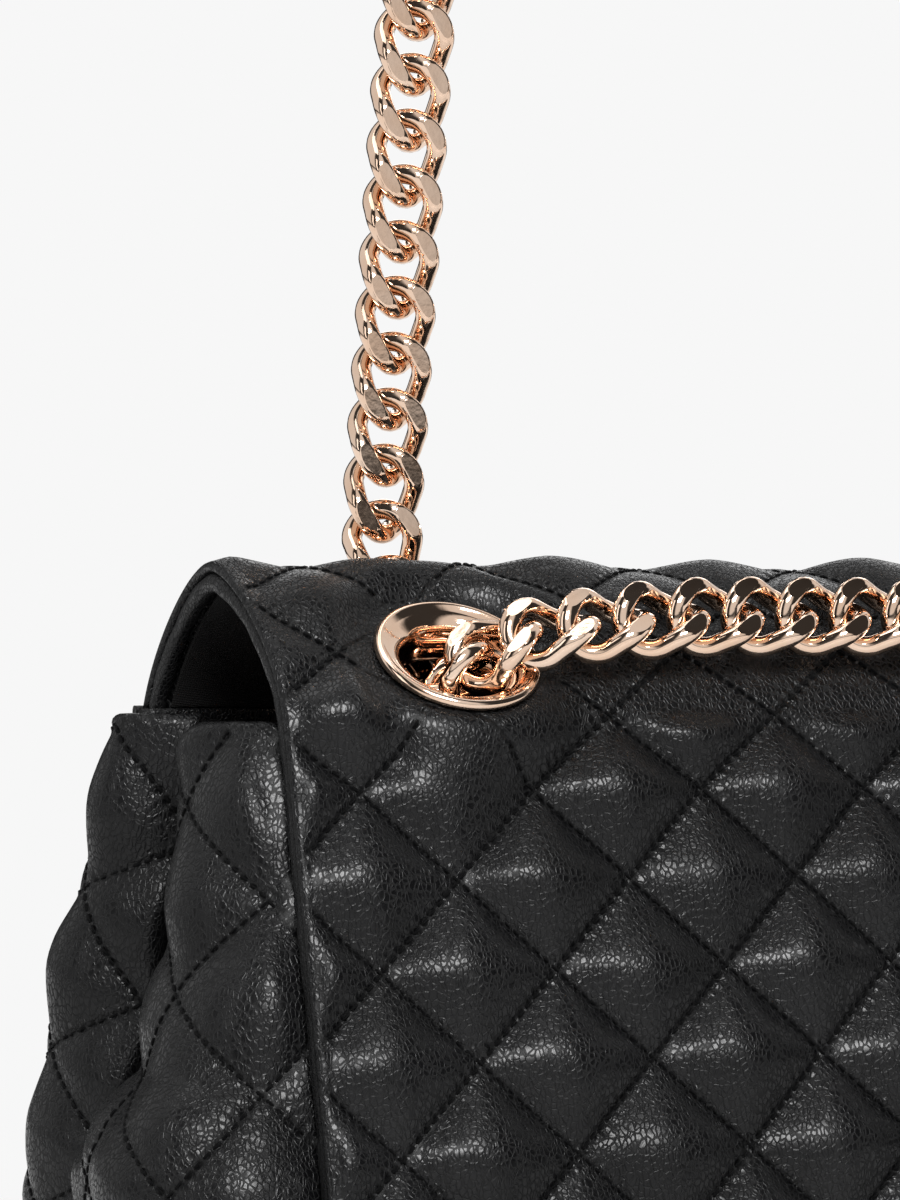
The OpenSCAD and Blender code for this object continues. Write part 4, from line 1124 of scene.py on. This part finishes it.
class MakeStage(bpy.types.Operator):
    """Floor, soft studio light and the camera at the photograph's angle"""
    bl_idname = "chain_bag.make_stage"
    bl_label = "Stage"

    def execute(self, context):
        select_nothing()
        bpy.ops.mesh.primitive_circle_add(vertices=96, radius=5, fill_type="NGON", location=(0, 0, -0.0002))
        floor = context.object
        floor.name = "floor"
        bpy.ops.object.transform_apply(location=True)
        m, n, shader = material("pale floor", Roughness=0.8)
        place = n.object_place()
        far = n.add("VectorMath", place, operation="LENGTH").outputs["Value"]
        grains = n.add("TexNoise", place, Scale=900.0, Detail=2.0).outputs["Fac"]
        n.give(shader.inputs["Base Color"], n.blend(grains, (0.86, 0.86, 0.86, 1), (0.90, 0.90, 0.90, 1)))
        path = n.add("LightPath").outputs
        seen = n.math("MAXIMUM", path["Is Camera Ray"],
                      n.math("MAXIMUM", path["Is Glossy Ray"], path["Is Transmission Ray"]))
        pale = n.add("Emission", PALE, 1.0)
        both = n.add("MixShader", n.times(seen, n.ramp(far, 0.34, 0.62, smooth_step=True)),
                     shader.outputs[0], pale.outputs[0])
        n.give(m.node_tree.nodes["Material Output"].inputs[0], both.outputs[0])
        floor.data.materials.append(m)
        self.light(context)
        self.camera(context)
        return {"FINISHED"}

    def light(self, context):
        """The lamps, and a room whose dark and pale bands show in the metal and softly in the leather."""
        for name, place, size, power in LAMPS:
            bpy.ops.object.light_add(type="AREA", location=place)
            lamp = context.object
            lamp.name = name
            lamp.data.shape = "RECTANGLE"
            lamp.data.size, lamp.data.size_y = size
            lamp.data.energy = power
            lamp.rotation_euler = (Vector(LAMP_AIM) - Vector(place)).to_track_quat("-Z", "Y").to_euler()
        world = context.scene.world or bpy.data.worlds.new("studio")
        context.scene.world = world
        world.use_nodes = True
        world.node_tree.nodes.clear()
        n = Nodes(world.node_tree)
        path = n.add("LightPath").outputs
        x, y, z = n.add("SeparateXYZ", n.add("TexCoord").outputs["Generated"]).outputs
        bands = n.math("SINE", n.plus(n.times(n.math("ARCTAN2", y, x), 3.0), 0.4))
        room = n.times(n.ramp(bands, -0.45, 0.25, 0.05, 1.0, True), n.ramp(z, -0.35, 0.1, 0.2, 1.0))
        rail = n.math("ABSOLUTE", n.minus(z, 0.03))
        room = n.times(room, n.ramp(rail, 0.015, 0.05, 0.1, 1.0, True))
        shown = n.math("MAXIMUM", path["Is Camera Ray"], path["Is Transmission Ray"])
        level = n.plus(0.28, n.times(path["Is Glossy Ray"], 0.52))
        back = n.add("Background", PALE, n.plus(shown, n.times(n.minus(1.0, shown), n.times(level, room))))
        n.add("OutputWorld", back.outputs[0])
        context.scene.view_settings.view_transform = "Standard"

    def camera(self, context):
        """The photograph's camera."""
        bpy.ops.object.camera_add()
        camera = context.object
        camera.name = "photo_camera"
        turn, up, roll = CAMERA_TURN, CAMERA_UP, CAMERA_ROLL
        right = Vector((math.cos(turn), -math.sin(turn), 0))
        ahead = Vector((math.sin(turn) * math.cos(up), math.cos(turn) * math.cos(up), math.sin(up)))
        above = right.cross(ahead)
        x = math.cos(roll) * right - math.sin(roll) * above
        y = math.sin(roll) * right + math.cos(roll) * above
        camera.matrix_world = Matrix((x, y, -ahead)).transposed().to_4x4()
        camera.location = CAMERA_PLACE
        camera.data.sensor_fit = "VERTICAL"
        camera.data.sensor_height = SENSOR
        camera.data.lens = CAMERA_FOCUS / PHOTO_ROWS * SENSOR
        context.scene.camera = camera


class MakeFlap(bpy.types.Operator):
    """The flap: quilted leather, its stitches, its lining and the soft strip along each end"""
    bl_idname = "chain_bag.make_flap"
    bl_label = "Flap"

    def execute(self, context):
        s = sizes()
        leather, data = quilted_flap(s)
        self.fold(context, leather, s)
        dress(leather, "quilted leather", "leather", "flap", "flap_outer")
        dress(stitches("flap_stitches", data), "sewing thread", "leather", "flap")
        self.lining(s)
        self.bindings(s)
        return {"FINISHED"}

    def fold(self, context, leather, s):
        """Leather that runs on round the hinge line, so that no gap opens there with the flap."""
        select_nothing()
        bpy.ops.mesh.primitive_cylinder_add(vertices=20, radius=0.0011, depth=0.00192 * s.top_half_w,
                                            location=(0, s.back_top_y * 0.001 - 0.0003, s.body_h * 0.001),
                                            rotation=(0, math.pi / 2, 0))
        fold = context.object
        bpy.ops.object.transform_apply(location=True, rotation=True, scale=True)
        bpy.ops.object.shade_smooth_by_angle(angle=math.radians(40))
        join(leather.name, leather, fold)

    def lining(self, s):
        P, _, _ = flap_points(s, s.flap_t + GAP + s.lining_t / 2, 2.2, [0, 0.25, 0.8, 1.6], 3.9, 1.6)
        obj, flat = plain_sheet("flap_cloth", P, s.lining_t)
        cut_holes(obj, s.eyelet_d / 2 + 1.5 + GAP, eyelet_frames())
        finish_cloth(obj, flat, "flap", "flap_lining")

    def bindings(self, s):
        """A soft strip along each end, round in section and a little uneven."""
        (_, a, at), (y, z, ty, tz, w) = flap_places(s, 1.6, [0, 0.3, 0.9, 1.8])
        turn = np.linspace(0, 2 * math.pi, 21)
        uneven = 1 + 0.05 * np.sin(at / 3.1) + 0.03 * np.sin(at / 1.3 + 1)
        full = (rounded(np.minimum(at, a[-1] - at), 1.8) * uneven)[:, None]
        depth = 3.95 + 1.85 * np.sin(turn)[None, :] * full
        parts = []
        for g in (-1, 1):
            x = g * (w - 1.75 + 1.6 * np.sign(np.cos(turn)) * np.abs(np.cos(turn)) ** 0.8 * full)
            P = np.stack([x, y + tz * depth, z - ty * depth], 2)
            parts.append(close_up(net("end_strip", P, P[..., :2] * 0.001, "weave"), 60))
        dress(join("end_strips", *parts), "plain leather", "leather", "flap", "flap_bindings")


class MakeShells(bpy.types.Operator):
    """The front and back halves of the body in quilted leather, with their stitches"""
    bl_idname = "chain_bag.make_shells"
    bl_label = "Body shells"

    def execute(self, context):
        s = sizes()
        for which in ("front", "back"):
            shell, data = quilted_wall(s, which)
            dress(shell, "quilted leather", "leather", "bag_body", f"{which}_shell")
            dress(stitches(f"{which}_stitches", data), "sewing thread", "leather", "bag_body")
        return {"FINISHED"}


class MakeSides(bpy.types.Operator):
    """The gusset in each side fold and its lining"""
    bl_idname = "chain_bag.make_sides"
    bl_label = "Side gussets"

    def execute(self, context):
        s = sizes()
        for side, g in (("left", -1), ("right", 1)):
            leather, _ = plain_sheet(f"{side}_side_strip", self.strip(s, g, 0.75, 0), 1.5, g)
            dress(leather, "plain leather", "leather", "bag_body", f"{side}_gusset")
            cloth, flat = plain_sheet(f"{side}_side_cloth", self.strip(s, g, 1.5 + GAP + 0.5, 0.8), 1.0, g)
            finish_cloth(cloth, flat, "bag_body", f"{side}_gusset_lining")
        return {"FINISHED"}

    def strip(self, s, g, skin_in, lower):
        """Middle points of a strip that sags inwards between the two halves."""
        z = INNER_LOW + spaced(SIDE_HEIGHT - lower, 3, [0, 0.4, 1.0])
        q = np.linspace(-1, 1, 15)[None, :]
        level = np.interp(z, [SHELL_LOW, 169.5, 200], [SHELL_LOW, 175.3, 206])
        w = np.minimum(half_w(s, level) - s.side_step + spread(s, "front", z) - tuck(s, "front", z),
                       half_w(s, level) + spread(s, "back", z) - tuck(s, "back", z)) - 2.6 - skin_in
        sag = 1 - q ** 2
        x = g * (w[:, None] - 3 * sag * (1 + 0.15 * np.sin(z / 11))[:, None])
        return np.stack([x, 10 + 7 * q + 0 * x, z[:, None] - 2.4 * sag * smooth((z - 150) / 22)[:, None]], 2)


class MakeInside(bpy.types.Operator):
    """Linings, the leather facings at the mouth and the slip pocket"""
    bl_idname = "chain_bag.make_inside"
    bl_label = "Inside"

    def execute(self, context):
        s = sizes()
        inset = s.shell_t + 2 * GAP + s.lining_t / 2
        facing = s.body_h - 28
        for which, top in (("front", WRAP_TOP * s.body_h - GAP), ("back", s.body_h + 2 * GAP)):
            sign = 1 if which == "front" else -1
            fine = [0, 0.3, 0.8]
            P, _ = body_grid(s, which, inset, INNER_LOW, facing - GAP, 3.0, fine, hooked=False)
            cloth, flat = plain_sheet(f"{which}_cloth", P, s.lining_t, sign)
            finish_cloth(cloth, flat, "bag_body", f"{which}_lining")
            P, _ = body_grid(s, which, inset, facing, top, 2.0, fine, hooked=False)
            band, _ = plain_sheet(f"{which}_band", P, 1.3, sign)
            dress(band, "plain leather", "leather", "bag_body", f"{which}_facing")
        self.pocket(s)
        return {"FINISHED"}

    def pocket(self, s):
        """A cloth pocket: a floor, and one wall round its sides and face, fuller in the middle."""
        low, high, half, depth, r = 40.0, 118.0, 80.0, 11.0, 5.0
        quarter = np.radians(np.linspace(0, 90, 9))
        corner = [(half - r + r * math.cos(t), depth - r + r * math.sin(t)) for t in quarter]
        face = [(half - r - k, depth) for k in np.linspace(0, half - r, 26)[1:]]
        right = np.array([(half, 0.0), (half, depth / 2)] + corner + face)
        path = np.vstack([right * [-1, 1], right[-2::-1]])
        behind = [back_y(s, k) + 0.6 * s.back_crown * math.sin(math.pi * k / s.body_h)
                  - s.shell_t - 3 * GAP - s.lining_t for k in (low, high)]
        rows = []
        for z in low + spaced(high - low, 3.0, [0, 0.3, 0.9]):
            t = (z - low) / (high - low)
            draw = 1 - 0.55 * (1 - rounded(z - low, 3.0))
            sag = 0.9 * np.sin(math.pi * (path[:, 0] / half + 1) / 2) * t
            rows.append(np.column_stack([path[:, 0] * mix(0.97, 1, draw),
                                         mix(behind[0], behind[1], t) - path[:, 1] * draw + sag * 0.4,
                                         np.full(len(path), z) - sag * (t > 0.5)]))
        wall, flat = plain_sheet("pocket_wall", np.array(rows), 1.0)
        grid = np.array([[(x, behind[0] - y, low + 0.6) for x in np.linspace(-half + 0.8, half - 0.8, 61)]
                         for y in np.linspace(0.5, depth - 0.5, 9)[::-1]])
        bottom, _ = plain_sheet("pocket_floor", grid, 1.0)
        join("cloth_pocket", wall, bottom)
        finish_cloth(wall, (flat[0], half_area(wall) / flat[0]), "bag_body", "slip_pocket")


class MakeBase(bpy.types.Operator):
    """The leather bottom, the board in it and the lining over it"""
    bl_idname = "chain_bag.make_base"
    bl_label = "Base"

    def execute(self, context):
        s = sizes()
        bottom = plate("bottom_leather", s, 0.0, 4.0, 0.2, 1.6)
        dress(bottom, "plain leather", "leather", "bag_body", "base_panel")
        cloth = plate("bottom_cloth", s, 6.6, 7.6, s.hook_r + GAP + 1.5, 0.4)
        dress(cloth, "woven lining", "cloth", "bag_body", "base_lining")
        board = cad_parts["base_board"]
        board.material_slots[0].material = finish_of("fibre board")
        return {"FINISHED"}


def eyelet_section(s):
    """Pressed section of an eyelet, radius and height: rolled lip, hollow flange and a clenched throat."""
    throat, hollow, lip, t = 9.5, 4.6, 1.0, 0.9
    lip_x, lip_z = s.eyelet_d / 2 - lip, lip - GAP / 2
    flare_x, flare_z = throat + hollow, lip_z - hollow + lip / 3
    clench_x, clench_z = throat + 2 * t, -s.flap_t - 2 * GAP - 0.8 - t

    def arc(x, z, rx, rz, start, end, n):
        turn = np.radians(np.linspace(start, end, n))
        return np.column_stack([x + rx * np.cos(turn), z + rz * np.sin(turn)])
    return np.vstack([arc(flare_x, flare_z, -hollow, hollow, 0, 78, 22),
                      arc(lip_x, lip_z, lip, lip, 125, -90, 18),
                      arc(flare_x, flare_z, t - hollow, hollow - t, 75, 0, 12),
                      arc(clench_x, clench_z, t, t, 180, 0, 8),
                      arc(clench_x, clench_z, 2 * t, 2 * t, 0, -180, 12)])


def turned_ring(name, section, centre, axis):
    """A closed ring: the section turned about an axis."""
    side = np.array([1.0, 0, 0])
    across = np.cross(axis, side)
    loop = np.vstack([section, section[:1]])
    a = np.linspace(0, 2 * math.pi, 113)
    out = np.cos(a)[None, :, None] * side + np.sin(a)[None, :, None] * across
    P = centre + loop[:, :1, None] * out + loop[:, 1:, None] * axis
    return close_up(net(name, P), 40)


class MakeFittings(bpy.types.Operator):
    """The four eyelets with their washers, and the two halves of the snap"""
    bl_idname = "chain_bag.make_fittings"
    bl_label = "Eyelets and snap"

    def execute(self, context):
        s = sizes()
        places = ("front_left", "front_right", "rear_left", "rear_right")
        for place, (centre, axis) in zip(places, eyelet_frames()):
            eyelet = turned_ring(f"{place}_plated_eyelet", eyelet_section(s), centre, axis)
            dress(eyelet, "polished rose gold", "metal", "flap", f"{place}_eyelet")
        for node in ("eyelet_washers", "snap_stud", "snap_stud_washer"):
            dress(smooth_copy(node, f"{node}_plated"), "polished rose gold", "metal", "flap", node)
        for node in ("snap_socket", "snap_socket_washer"):
            dress(smooth_copy(node, f"{node}_plated"), "polished rose gold", "metal", "bag_body", node)
        return {"FINISHED"}


class MakeChain(bpy.types.Operator):
    """The curb chain: one filed link, copied along every stretch of the strap"""
    bl_idname = "chain_bag.make_chain"
    bl_label = "Chain"

    def execute(self, context):
        s = sizes()
        link = make_link(s)
        bodies = {"front_chain": "flap", "left_inner_chain": "flap", "right_inner_chain": "flap",
                  "strap_crown": "strap_crown"}
        for node, (route, widths) in chain_routes(s).items():
            obj = run_chain(f"{node}_links", link, route, widths)
            body = bodies.get(node) or "strap_" + node.rsplit("_", 1)[1]
            dress(obj, "polished rose gold", "metal", body, node)
        bpy.data.objects.remove(link)
        return {"FINISHED"}


class BAG_PT_pieces(bpy.types.Panel):
    """Lists the pieces in the order that they are made"""
    bl_label = "Chain bag"
    bl_idname = "BAG_PT_pieces"
    bl_space_type = "VIEW_3D"
    bl_region_type = "UI"
    bl_category = "Chain bag"

    def draw(self, context):
        for kind in PIECES:
            self.layout.operator(kind.bl_idname)
        for key in SETTINGS:
            group = getattr(context.scene, key)
            column = self.layout.column(align=True)
            for item in group.__annotations__:
                column.prop(group, item)


PIECES = (MakeStage, MakeFlap, MakeShells, MakeSides, MakeInside, MakeBase, MakeFittings, MakeChain)
SETTINGS = {"bag_body": BagBodySizes, "bag_flap": BagFlapSizes, "bag_chain": BagChainSizes,
            "bag_quilting": BagQuilting, "bag_finishes": BagFinishes}


def register():
    for kind in (*SETTINGS.values(), *PIECES, BAG_PT_pieces):
        bpy.utils.register_class(kind)
    for key, kind in SETTINGS.items():
        setattr(bpy.types.Scene, key, bpy.props.PointerProperty(type=kind))


def unregister():
    for key in SETTINGS:
        delattr(bpy.types.Scene, key)
    for kind in (BAG_PT_pieces, *reversed(PIECES), *reversed(SETTINGS.values())):
        bpy.utils.unregister_class(kind)


def main():
    register()
    for kind in PIECES:
        group, name = kind.bl_idname.split(".")
        result = getattr(getattr(bpy.ops, group), name)()
        if result != {"FINISHED"}:
            raise RuntimeError(f"{kind.bl_label} came back {result}")
    select_nothing()


if __name__ == "__main__":
    main()
